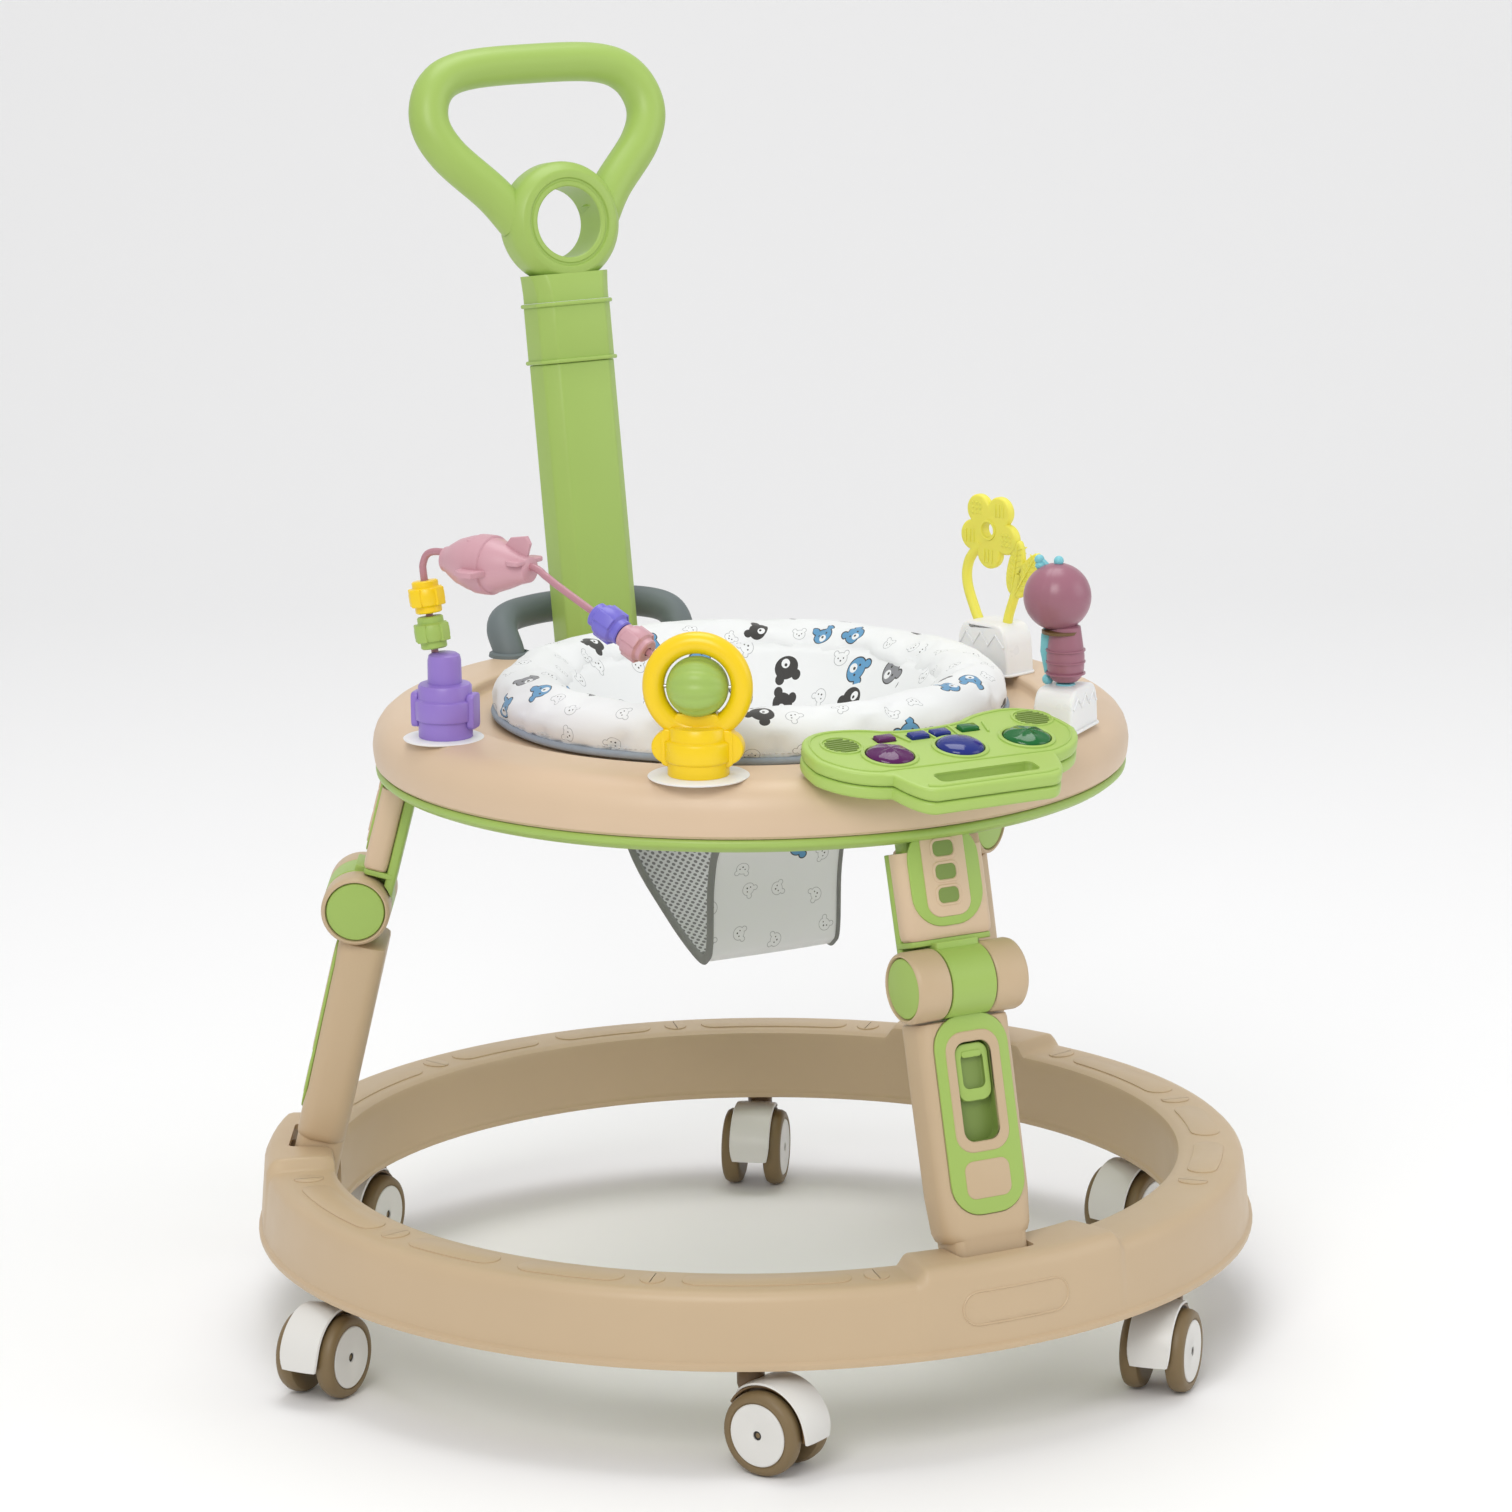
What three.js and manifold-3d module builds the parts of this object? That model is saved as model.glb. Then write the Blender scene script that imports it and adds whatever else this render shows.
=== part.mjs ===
// Baby walker: a round base ring on six twin-wheel casters, three jointed legs that fold inward,
// a round play tray with a hanging seat, toys, a piano box, a rear rail and a push handle.
// Millimetres, +Z up, origin on the floor under the middle of the footprint, front towards -Y.
import * as THREE from "three";
import { mergeVertices } from "three/addons/utils/BufferGeometryUtils.js";
import Module from "manifold-3d";

const wasm = await Module();
wasm.setup();
const { degToRad } = THREE.MathUtils;

// ---------------------------------------------------------------- driving dimensions
const gap = 0.3; // between two pieces that rest on each other
const run = 0.3; // radial clearance of a pin or a stem in its hole
const wall = 2.8; // moulded wall

const ringRadius = 350; // outer radius of the base ring at its lower lip
const ringWidth = 53; // radial width of the base ring
const ringBottom = 70; // height of the ring's open underside
const ringHeight = 51.4; // from the underside to the flat top
const ringDraft = 6.5; // how far the outer wall leans in towards the top
const saddleRise = 7.8; // the raised pad around each foot
const saddleHalfAngle = 11;

const wheelRadius = 28.5;
const wheelWidth = 13.5;
const wheelGap = 18; // between the two wheels of a caster
const casterTrail = 20;
const casterInset = 23.4; // caster stems, in from the ring's outer lip
const casterCircle = ringRadius - casterInset;
const footprintShift = 14.8; // from the ring's centre to the footprint's, along -X
const stemRadius = 5.5;
// caster position and the direction in which it trails, degrees about +Z
const casters = [
  { name: "front_right", at: -60, trails: 220.7 },
  { name: "front_left", at: -120, trails: 295.7 },
  { name: "left", at: 180, trails: 212.7 },
  { name: "rear_left", at: 120, trails: 215.7 },
  { name: "rear_right", at: 60, trails: 230.7 },
  { name: "right", at: 0, trails: 205.7 },
];

const legs = [
  { name: "front", at: -90, openPivot: false },
  { name: "right", at: 30, openPivot: true },
  { name: "left", at: 150, openPivot: true },
];
const footInset = 36; // foot pivots, in from the ring's outer lip
const footLift = 25; // foot pivots, up from the ring's underside
const footPivot = { r: ringRadius - footInset, z: ringBottom + footLift };
const lowerReach = 210; // from the foot pivot up to the knee
const upperReach = 126.2; // from the knee up to the tray pivot
const lowerTilt = 13.5; // lean of the lower leg towards the middle, degrees
const upperTilt = 14.7;
const kneeOffset = 10; // the knee axis lies this far outside the legs' centre line
const lowerWidth = 70;
const lowerThickness = 33;
const footWidth = 54;
const upperWidth = 66;
const upperThickness = 24;
const neckWidth = 50;
const neckThickness = 14;
const kneeRadius = 24;
const kneeLength = 84;
const knuckleLength = 34;
const kneePinRadius = 4;
const trunnionRadius = 4;
const openPivotPlay = 5.6; // extra play where the linkage is opened
const openPivotRoom = 1.4; // extra room beside the neck there

const trayRadius = 262; // widest radius of the tray
const trayHeight = 48;
const trayJoint = 10.5; // height of the seam between the two tray shells
const trayLedge = 200; // radius of the step down to the seat ledge
const ledgeDepth = 8;
const trayHole = 150.5;
const trayPivotInset = 29; // tray pivots, in from the tray's edge
const trayPivotDrop = 29; // tray pivot above the tray's underside

const rimRadius = 178; // outer radius of the padded seat rim
const rimWidth = 52;
const rimHeight = 37;
const slingWidth = 106;
const slingDepth = 127; // how far the crotch hangs below the tray
const slingCloth = 3;

const barWidth = 58;
const barDepth = 40;
const barCorner = 9;
const barLean = 9;
const barInset = 34; // push bar, in from the tray's edge
const barFoot = { y: trayRadius - barInset, rise: 7 }; // bar axis, this far above the tray top
const barPlunge = 30; // how far the bar reaches into the tray
const barLength = 200; // from the bar's axis mark to the lower collar
const couplerLength = 44;
const hubReach = 300.5; // from the bar's axis mark to the middle of the hub
const hubRadius = 44;
const hubBore = 25.5;
const hubDepth = 32;
const gripLean = 12.5; // the grip leans back more than the bar
const gripRise = 119.5;
const gripHalfWidth = 88;
const gripTube = 14.3;

const railTube = 11;
const railHalfWidth = 69;
const railRise = 22;

const pianoLength = 198;
const pianoHeight = 18.6;
const pianoTilt = 10.5;
const pianoInset = 13; // piano's middle, in from the tray's edge
const pianoCentre = { x: 5.5, y: pianoInset - trayRadius };
const domeRadius = 16;
const slotHalfWidth = 38;

const archStart = { r: trayRadius - 30.5, at: 178 }; // purple base
const archEnd = { r: trayRadius - 29, at: 232.3 }; // yellow ring stand
const wireRadius = 2.5;
const hoopRadius = 29.3;
const hoopTube = 7.3;
const hoopRise = 59;
const ballRadius = 20.3;
const archRise = 127;
const violetBeadAt = 140.4; // along the arch from its start
const beadPitch = 24.1; // along the wire, between the two beads of the glide

const flowerPlace = { r: trayRadius - 63.5, at: -0.58, turn: 285 };
const bugPlace = { r: trayRadius - 27.2, at: -54, turn: 216 };
const toyBase = { width: 50, depth: 28, height: 36.5, bugHeight: 30 };

// ---------------------------------------------------------------- derived places
const ringTop = ringBottom + ringHeight;
// Lean added to both halves of a leg, so that its top comes under the tray's edge.
function spreadLean() {
  const run = footPivot.r - (trayRadius - trayPivotInset);
  let [low, high] = [-lowerTilt, 45];
  for (let i = 0; i < 50; i++) {
    const middle = (low + high) / 2;
    const [a, b] = [degToRad(lowerTilt + middle), degToRad(upperTilt + middle)];
    const lower = lowerReach * Math.sin(a) - kneeOffset * Math.cos(a);
    const upper = upperReach * Math.sin(b) + kneeOffset * Math.cos(b);
    if (lower + upper < run) low = middle;
    else high = middle;
  }
  return (low + high) / 2;
}
const lowerLean = lowerTilt + spreadLean();
const upperLean = upperTilt + spreadLean();
const [lt, ut] = [degToRad(lowerLean), degToRad(upperLean)];
const kneePivot = {
  r: footPivot.r - lowerReach * Math.sin(lt) + kneeOffset * Math.cos(lt),
  z: footPivot.z + lowerReach * Math.cos(lt) + kneeOffset * Math.sin(lt),
};
const trayPivot = {
  r: kneePivot.r - upperReach * Math.sin(ut) - kneeOffset * Math.cos(ut),
  z: kneePivot.z + upperReach * Math.cos(ut) - kneeOffset * Math.sin(ut),
};
const trayBottom = trayPivot.z - trayPivotDrop;
const trayTop = trayBottom + trayHeight;
const ledgeTop = trayTop - ledgeDepth;

// ---------------------------------------------------------------- colours
const paint = (color, roughness = 0.55) =>
  new THREE.MeshStandardMaterial({ color, roughness, metalness: 0 });
const beige = paint(0xdebe9b);
const sand = paint(0xcdaf87);
const lime = paint(0xa8c05a);
const paleLime = paint(0xafcd5f);
const tyreBrown = paint(0x735f3c, 0.7);
const bracketBrown = paint(0x6e4a26, 0.5);
const cloth = paint(0xebeeee, 0.9);
const grey = paint(0x6e7878);
const yellow = paint(0xfad700, 0.45);
const paleYellow = paint(0xebe13c, 0.5);
const purple = paint(0x8269be, 0.45);
const violet = paint(0x736ec8, 0.45);
const pink = paint(0xcd9ba5, 0.5);
const wirePink = paint(0xbe8291, 0.4);
const mauve = paint(0x9b6978, 0.4);
const white = paint(0xf2f2f0, 0.5);
const steel = new THREE.MeshStandardMaterial({ color: 0xb8bcc0, roughness: 0.3, metalness: 0.9 });
const deepPurple = paint(0x5a005a, 0.2);
const deepBlue = paint(0x141e82, 0.2);
const deepGreen = paint(0x006428, 0.2);

// ---------------------------------------------------------------- shape helpers
// A closed three.js geometry as a solid that can be joined and cut.
function solid(geometry) {
  const bare = new THREE.BufferGeometry();
  bare.setAttribute("position", geometry.getAttribute("position").clone());
  if (geometry.index) bare.setIndex(geometry.index.clone());
  const merged = mergeVertices(bare, 1e-3);
  const corners = merged.index.array;
  const kept = [];
  for (let i = 0; i < corners.length; i += 3) {
    const [a, b, c] = [corners[i], corners[i + 1], corners[i + 2]];
    if (a !== b && b !== c && a !== c) kept.push(a, b, c);
  }
  const build = (triVerts) =>
    new wasm.Manifold(
      new wasm.Mesh({ numProp: 3, vertProperties: merged.attributes.position.array, triVerts }),
    );
  const made = build(new Uint32Array(kept));
  if (made.volume() > 0) return made;
  for (let i = 0; i < kept.length; i += 3) [kept[i + 1], kept[i + 2]] = [kept[i + 2], kept[i + 1]];
  return build(new Uint32Array(kept));
}

function place(geometry, { x = 0, y = 0, z = 0, rx = 0, ry = 0, rz = 0 } = {}) {
  const turn = new THREE.Euler(degToRad(rx), degToRad(ry), degToRad(rz), "XYZ");
  const at = new THREE.Matrix4().makeRotationFromEuler(turn).setPosition(x, y, z);
  return geometry.applyMatrix4(at);
}

const join = (...parts) => parts.reduce((all, part) => all.add(part));
const cut = (from, ...tools) => tools.reduce((left, tool) => left.subtract(tool), from);

function named(name, made, material) {
  const data = made.getMesh();
  const count = data.numProp;
  const points = new Float32Array(data.numVert * 3);
  for (let i = 0; i < data.numVert; i++) {
    points.set(data.vertProperties.subarray(i * count, i * count + 3), i * 3);
  }
  const geometry = new THREE.BufferGeometry()
    .setAttribute("position", new THREE.BufferAttribute(points, 3))
    .setIndex(new THREE.BufferAttribute(data.triVerts, 1));
  geometry.computeVertexNormals();
  const mesh = new THREE.Mesh(geometry, material);
  mesh.name = name;
  return mesh;
}

const box = (x, y, z, at) => solid(place(new THREE.BoxGeometry(x, y, z), at));

// A cylinder along z, or turned with rx and ry.
const rod = (radius, length, at, sides = 16) =>
  solid(place(place(new THREE.CylinderGeometry(radius, radius, length, sides), { rx: 90 }), at));
const rodAlongY = (radius, length, at = {}, sides = 16) =>
  rod(radius, length, { ...at, rx: 90 }, sides);

// A solid of revolution about z from a closed outline of [radius, height] points.
function turned(outline, sides = 24, at = {}) {
  const points = outline.map(([r, z]) => new THREE.Vector2(r, z));
  points.push(points[0].clone());
  return solid(place(place(new THREE.LatheGeometry(points, sides), { rx: 90 }), at));
}

function extruded(shape, depth, at = {}, curveSegments = 3) {
  const options = { depth, bevelEnabled: false, curveSegments };
  return solid(place(new THREE.ExtrudeGeometry(shape, options), at));
}

// A rectangle in x and y with round corners, centred on cx, cy.
function roundRect(width, height, corner, cx = 0, cy = 0) {
  const [w, h] = [width / 2, height / 2];
  const shape = new THREE.Shape();
  shape.absarc(cx + w - corner, cy + h - corner, corner, 0, Math.PI / 2);
  shape.absarc(cx - w + corner, cy + h - corner, corner, Math.PI / 2, Math.PI);
  shape.absarc(cx - w + corner, cy - h + corner, corner, Math.PI, 1.5 * Math.PI);
  shape.absarc(cx + w - corner, cy - h + corner, corner, 1.5 * Math.PI, 2 * Math.PI);
  return shape;
}

// A rectangle with flat chamfered corners.
function chamferRect(width, height, corner) {
  const [w, h] = [width / 2, height / 2];
  const corners = [
    [w - corner, -h],
    [w, corner - h],
    [w, h - corner],
    [w - corner, h],
    [corner - w, h],
    [-w, h - corner],
    [-w, corner - h],
    [corner - w, -h],
  ];
  return new THREE.Shape(corners.map(([x, y]) => new THREE.Vector2(x, y)));
}

// A round tube along a curve.
function tube(curve, radius, steps, sides = 8) {
  const section = new THREE.Shape();
  section.absarc(0, 0, radius, 0, 2 * Math.PI);
  const options = { extrudePath: curve, steps, curveSegments: sides / 2, bevelEnabled: false };
  return solid(new THREE.ExtrudeGeometry(section, options));
}

function smoothCurve(points) {
  return new THREE.CatmullRomCurve3(points.map((p) => new THREE.Vector3(...p)), false, "centripetal");
}

// A plate with the outline of a ring sector, its arcs about z.
function sector(inner, outer, halfAngle, depth, z) {
  const half = degToRad(halfAngle);
  const shape = new THREE.Shape();
  shape.absarc(0, 0, outer, -half, half);
  shape.absarc(0, 0, inner, half, -half, true);
  return extruded(shape, depth, { z }, 3);
}

function group(parts, at = {}) {
  const made = new THREE.Group();
  made.add(...parts);
  made.position.set(at.x ?? 0, at.y ?? 0, at.z ?? 0);
  made.rotation.set(degToRad(at.rx ?? 0), degToRad(at.ry ?? 0), degToRad(at.rz ?? 0));
  return made;
}

// A place on the tray, from its radius and its angle about z.
function onTray({ r, at }) {
  return { x: r * Math.cos(degToRad(at)), y: r * Math.sin(degToRad(at)) };
}

// ---------------------------------------------------------------- base ring
const casterBoss = { radius: 11, top: ringTop - wall };

// Everything of one foot socket, in the leg's frame: x outward, y along the ring.
function footSocket() {
  const lugPlace = footWidth / 2 + 1.3;
  const lugDepth = 3.2;
  const inner = ringRadius - ringWidth;
  const saddle = sector(
    inner + 1.5,
    ringRadius - ringDraft,
    saddleHalfAngle,
    saddleRise + 1,
    ringTop - 1,
  );
  const lugs = [-1, 1].map((side) =>
    box(ringWidth - 16, lugDepth, ringHeight - 10, {
      x: inner + ringWidth / 2 - 1,
      y: side * (lugPlace + lugDepth / 2),
      z: ringTop - (ringHeight - 10) / 2 - 1,
    }),
  );
  const slotWidth = 2 * (lugPlace - 0.02);
  const throatFloor = ringTop - 10 - footPivot.z;
  const throatOut = footPivot.r + lowerThickness / 2 / Math.cos(lt) - throatFloor * Math.tan(lt);
  const throat = box(throatOut - (inner - 7), slotWidth, 30, {
    x: (throatOut + inner - 7) / 2,
    z: ringTop + 5,
  });
  const innerGate = box(14, slotWidth, 90, { x: inner, z: ringTop - 30 });
  const pinHole = rodAlongY(
    trunnionRadius + run,
    footWidth + 30,
    { x: footPivot.r, z: footPivot.z },
    16,
  );
  return { adds: [saddle, ...lugs], cuts: [throat, innerGate, pinHole] };
}

function makeBaseRing() {
  const outer = ringRadius;
  const inner = ringRadius - ringWidth;
  const draft = ringDraft;
  const outline = [
    [outer, ringBottom],
    [outer, ringBottom + 4],
    [outer - 2.5, ringBottom + 7],
    [outer - draft, ringTop - 4],
    [outer - draft - 3, ringTop],
    [inner + 4, ringTop],
    [inner, ringTop - 4],
    [inner - 2, ringBottom],
    [inner + wall, ringBottom],
    [inner + wall, ringTop - wall - 0.5],
    [outer - draft - wall, ringTop - wall - 0.5],
    [outer - wall - 2, ringBottom],
  ];
  let made = turned(outline, 48);
  const cuts = [];
  for (const { at } of legs) {
    const turn = { rz: at };
    const socket = footSocket();
    socket.adds.forEach((piece) => (made = made.add(piece.rotate([0, 0, turn.rz]))));
    cuts.push(...socket.cuts.map((piece) => piece.rotate([0, 0, turn.rz])));
  }
  for (const { at } of casters) {
    const spot = onTray({ r: casterCircle, at });
    const height = ringHeight - wall + 1.6;
    made = made.add(
      rod(casterBoss.radius, height, { ...spot, z: ringTop - height / 2 - 1 }, 12),
    );
    const depth = ringHeight - wall - 2;
    cuts.push(rod(stemRadius + run, depth, { ...spot, z: ringBottom + depth / 2 - 2 }, 12));
  }
  return named("base_ring", cut(made, ...cuts), sand);
}

// ---------------------------------------------------------------- casters
const axle = { radius: 3, z: wheelRadius };

// The fork's own frame: z on the stem, x the way the caster trails.
function makeFork(name) {
  const stemTop = ringTop - 8;
  const webHalf = wheelGap / 2 - 1.2;
  const hoodHalf = 14.5;
  const [hoodIn, hoodOut] = [wheelRadius + 1.3, wheelRadius + 4];
  const hood = new THREE.Shape();
  hood.absarc(0, 0, hoodOut, degToRad(-5), degToRad(150));
  hood.absarc(0, 0, hoodIn, degToRad(150), degToRad(-5), true);
  const web = new THREE.Shape();
  web.absarc(0, 0, hoodIn + 1, degToRad(-5), degToRad(152));
  web.absarc(0, 0, 8, degToRad(215), degToRad(300));
  const onAxle = { x: casterTrail, z: axle.z, rx: 90 };
  const made = join(
    rod(stemRadius, stemTop - 40, { z: (stemTop + 40) / 2 }, 10),
    rod(8, ringBottom - 50 - 1, { z: (ringBottom - 1 + 50) / 2 }, 10),
    extruded(web, 2 * webHalf, { ...onAxle, y: webHalf }, 3),
    extruded(hood, 2 * hoodHalf, { ...onAxle, y: hoodHalf }, 6),
  );
  const bore = rodAlongY(axle.radius + run, 60, { x: casterTrail, z: axle.z }, 10);
  return named("caster_fork_" + name, made.subtract(bore), bracketBrown);
}

// Both wheels of a caster, pressed on their axle, with the axle along y.
function makeWheels(name) {
  const [inside, outside] = [wheelGap / 2, wheelGap / 2 + wheelWidth];
  const outline = [
    [0, outside],
    [wheelRadius - 3.5, outside],
    [wheelRadius, outside - 4],
    [wheelRadius, inside + 4],
    [wheelRadius - 3.5, inside],
    [0, inside],
  ];
  const wheel = (side) => turned(outline, 20, { rx: side * 90 });
  const both = join(wheel(1), wheel(-1), rodAlongY(axle.radius, wheelGap + 2, {}, 10));
  const mesh = named("caster_wheels_" + name, both, tyreBrown);
  mesh.position.set(casterTrail, 0, axle.z);
  return mesh;
}

function makeCaster({ name, at, trails }) {
  const spot = onTray({ r: casterCircle, at });
  return group([makeFork(name), makeWheels(name)], { ...spot, rz: trails });
}

// ---------------------------------------------------------------- legs
const kneeAxis = (length, radius, sides = 16) => rodAlongY(radius, length, {}, sides);

// Lower leg: z up along the leg from the foot pivot, x outward across it.
const slotUp = { from: 92, to: 168, width: 24, depth: 7 };

function makeLowerLeg(name) {
  const sideLength = (kneeLength - knuckleLength) / 2 - run;
  const knee = { x: kneeOffset, z: lowerReach };
  const shank = extruded(
    roundRect(lowerThickness, lowerWidth, 9),
    lowerReach - gap - 40,
    { z: 40 },
  );
  const ankle = extruded(roundRect(lowerThickness, footWidth, 8), 44, { z: 0 });
  const heel = rodAlongY(lowerThickness / 2, footWidth, {}, 16);
  const trunnions = rodAlongY(trunnionRadius, footWidth + 8, {}, 16);
  const barrels = [-1, 1].map((side) =>
    rodAlongY(kneeRadius, sideLength, {
      ...knee,
      y: side * (kneeLength / 2 - sideLength / 2),
    }, 16),
  );
  const knuckleRoom = rodAlongY(kneeRadius + 1.2, knuckleLength + 2 * run, knee, 16);
  const pinHole = rodAlongY(kneePinRadius + run, kneeLength + 4, knee, 16);
  const capRooms = [-1, 1].map((side) =>
    rodAlongY(kneeRadius - 2.4, 6, { ...knee, y: side * (kneeLength / 2) }, 16),
  );
  const slot = box(slotUp.depth, slotUp.width, slotUp.to - slotUp.from, {
    x: lowerThickness / 2 - slotUp.depth / 2 + 0.01,
    z: (slotUp.from + slotUp.to) / 2,
  });
  const made = cut(
    join(shank, ankle, heel, trunnions).subtract(
      rodAlongY(kneeRadius + 1.2, kneeLength + 4, knee, 16),
    ),
    slot,
  );
  const bridge = box(10, lowerWidth - 6, 22, { x: -3, z: lowerReach - 18 });
  const withBarrels = join(made, bridge, ...barrels);
  return named(
    "lower_leg_" + name,
    cut(withBarrels, knuckleRoom, pinHole, ...capRooms),
    sand,
  );
}

function makeLatch(name) {
  const height = 34;
  const plate = box(slotUp.depth - 1.4, slotUp.width - 1, height, {
    x: lowerThickness / 2 - slotUp.depth / 2,
    z: slotUp.to - 3 - height / 2,
  });
  const thumb = box(4, slotUp.width - 10, 20, {
    x: lowerThickness / 2 - 0.6,
    z: slotUp.to - 3 - height / 2,
  });
  return named("latch_slider_" + name, plate.subtract(thumb), lime);
}

function makeKneePin(name) {
  const capThickness = 2.6;
  const caps = [-1, 1].map((side) =>
    rodAlongY(kneeRadius - 2.8, capThickness, {
      y: side * (kneeLength / 2 - capThickness / 2 + 0.2),
    }, 16),
  );
  return named("knee_pin_" + name, join(rodAlongY(kneePinRadius, kneeLength - 2, {}, 16), ...caps), lime);
}

// Upper leg pieces: origin on the knee axis, z up along the leg, x outward across it.
const upperBack = -kneeOffset - upperThickness / 2;
const upperFront = -kneeOffset + upperThickness / 2;
const coreThickness = 7;
const shell = { from: kneeRadius + 5.4, to: upperReach - 38 };

function makeUpperCore(name) {
  const neckFrom = shell.to - 6;
  const spine = box(coreThickness, upperWidth - 4, shell.to - gap, {
    x: upperBack + coreThickness / 2,
    z: (shell.to + gap) / 2,
  });
  const shelf = box(upperThickness - 1, upperWidth - 4, 3.4, {
    x: -kneeOffset - 0.5,
    z: shell.from - gap - 1.7,
  });
  const neck = extruded(
    roundRect(neckThickness, neckWidth, 4, -kneeOffset, 0),
    upperReach - neckFrom,
    { z: neckFrom },
    3,
  );
  const eye = rodAlongY(9, neckWidth, { x: -kneeOffset, z: upperReach }, 20);
  const trunnions = rodAlongY(trunnionRadius, neckWidth + 12, { x: -kneeOffset, z: upperReach }, 16);
  const sideRoom = [-1, 1].map((side) =>
    rodAlongY(kneeRadius + 1.2, 40, { y: side * (knuckleLength / 2 + 20) }, 16),
  );
  const frame = cut(join(spine, shelf, neck, eye, trunnions), ...sideRoom);
  const web = box(-upperBack + 8, knuckleLength, shell.from - 4, {
    x: (upperBack + 8) / 2,
    z: (shell.from - 4) / 2 + gap,
  });
  const made = join(frame, web, kneeAxis(knuckleLength, kneeRadius));
  return named(
    "upper_leg_core_" + name,
    made.subtract(kneeAxis(knuckleLength + 2, kneePinRadius + run, 16)),
    lime,
  );
}

function makeUpperShell(name) {
  const back = upperBack + coreThickness + gap;
  const block = extruded(
    roundRect(upperFront - back, upperWidth, 6, (upperFront + back) / 2, 0),
    shell.to - shell.from,
    { z: shell.from },
  );
  const neckRoom = box(neckThickness + 2 * gap, neckWidth + 2 * gap, 20, {
    x: -kneeOffset,
    z: shell.to - 6 - gap + 10,
  });
  return named("upper_leg_shell_" + name, block.subtract(neckRoom), beige);
}

function makeLeg({ name, at }) {
  const lower = group([makeLowerLeg(name), makeLatch(name)], {
    x: footPivot.r,
    z: footPivot.z,
    ry: -lowerLean,
  });
  const knee = { x: kneePivot.r, z: kneePivot.z };
  const pin = group([makeKneePin(name)], { ...knee, ry: -lowerLean });
  const upper = group([makeUpperCore(name), makeUpperShell(name)], { ...knee, ry: -upperLean });
  return group([lower, pin, upper], { rz: at });
}

// ---------------------------------------------------------------- tray
// Sections of the push bar and the rear rail, also used to cut their sockets.
const barPlace = { y: barFoot.y, z: trayTop + barFoot.rise, rx: -barLean };
const barDown = (barFoot.rise + barPlunge) / Math.cos(degToRad(barLean));

function barSection(grow, from, to) {
  return extruded(
    chamferRect(barWidth + 2 * grow, barDepth + 2 * grow, barCorner),
    to - from,
    { z: from },
    1,
  );
}

function railCurve() {
  const [w, z, edge] = [railHalfWidth, trayTop, trayRadius];
  const half = [
    [w - 1, edge - 36, z - 20],
    [w + 1, edge - 32, z + 2],
    [w, edge - 19, z + railRise - 5],
    [w - 14, edge - 3, z + railRise],
    [w - 42, edge + 9, z + railRise + 1],
    [0, edge + 12, z + railRise + 1],
  ];
  const other = half.slice(0, -1).reverse();
  return smoothCurve([...half.map(([x, y, h]) => [-x, y, h]), ...other]);
}

function makeTrayTop() {
  const R = trayRadius;
  const z = trayBottom;
  const t = trayHeight;
  const out = [
    [R - 3.7, trayJoint + gap],
    [R - 0.5, 18],
    [R - 0.5, 29],
    [R - 6, t - 7],
    [R - 14, t - 1.5],
    [R - 22, t],
    [trayLedge + 1, t],
    [trayLedge - 1, t - ledgeDepth],
    [trayHole, t - ledgeDepth],
  ];
  const back = [
    [trayHole, t - ledgeDepth - wall],
    [trayLedge + 1, t - ledgeDepth - wall],
    [trayLedge + 3.6, t - wall],
    [R - 22, t - wall],
    [R - 15, t - 4.2],
    [R - 8.3, t - 9],
    [R - 3.4, 28.5],
    [R - 3.4, 18.5],
    [R - 6.6, trayJoint + gap],
  ];
  const made = turned([...out, ...back].map(([r, h]) => [r, h + z]), 48);
  const socket = barSection(0.4, -barDown - 20, 60)
    .rotate([barPlace.rx, 0, 0])
    .translate([0, barPlace.y, barPlace.z]);
  return named("tray_top", cut(made, socket, tube(railCurve(), railTube + 0.5, 24, 8)), beige);
}

function makeTrayBottom() {
  const R = trayRadius;
  const z = trayBottom;
  const high = trayHeight - ledgeDepth - wall - gap;
  const out = [
    [R - 4, trayJoint],
    [R - 6, 4],
    [R - 12, 0],
    [trayHole + 2, 0],
    [trayHole + 2, high],
    [trayHole + 4.5, high],
    [trayHole + 4.5, 2.5],
    [R - 13, 2.5],
    [R - 8.6, 5.6],
    [R - 6.7, trayJoint],
  ];
  let made = turned(out.map(([r, h]) => [r, h + z]), 48);
  const cuts = [];
  const wide = upperWidth / 2 + 2.5;
  for (const { at, openPivot } of legs) {
    const lugAt = neckWidth / 2 + 1.6 + (openPivot ? openPivotRoom : 0);
    const lugs = [-1, 1].map((side) =>
      box(20, 3.2, trayPivotDrop + 5, {
        x: trayPivot.r,
        y: side * (lugAt + 1.6),
        z: z + (trayPivotDrop + 5) / 2 + 0.5,
      }),
    );
    const shins = [-1, 1].map((side) =>
      box(20, wide - lugAt + 2, 2.4, {
        x: trayPivot.r,
        y: side * ((wide + lugAt) / 2 + 1),
        z: z + 1.3,
      }),
    );
    [...lugs, ...shins].forEach((piece) => (made = made.add(piece.rotate([0, 0, at]))));
    const inner = trayHole - 6;
    const neckOut = trayPivot.r + trayPivotDrop * Math.tan(ut) + neckThickness / 2 / Math.cos(ut) + 0.15;
    const narrow = box(neckOut - inner, 2 * lugAt, 80, { x: (neckOut + inner) / 2, z });
    const broad = box(trayPivot.r - 20 - inner, 2 * wide, 80, { x: (trayPivot.r - 20 + inner) / 2, z });
    const play = openPivot ? openPivotPlay : run;
    const hole = rodAlongY(trunnionRadius + play, 2 * lugAt + 14, trayPivotSpot(), 16);
    cuts.push(...[narrow, broad, hole].map((piece) => piece.rotate([0, 0, at])));
  }
  return named("tray_bottom", cut(made, ...cuts), lime);
}

function trayPivotSpot() {
  return { x: trayPivot.r, z: trayPivot.z };
}

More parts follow.
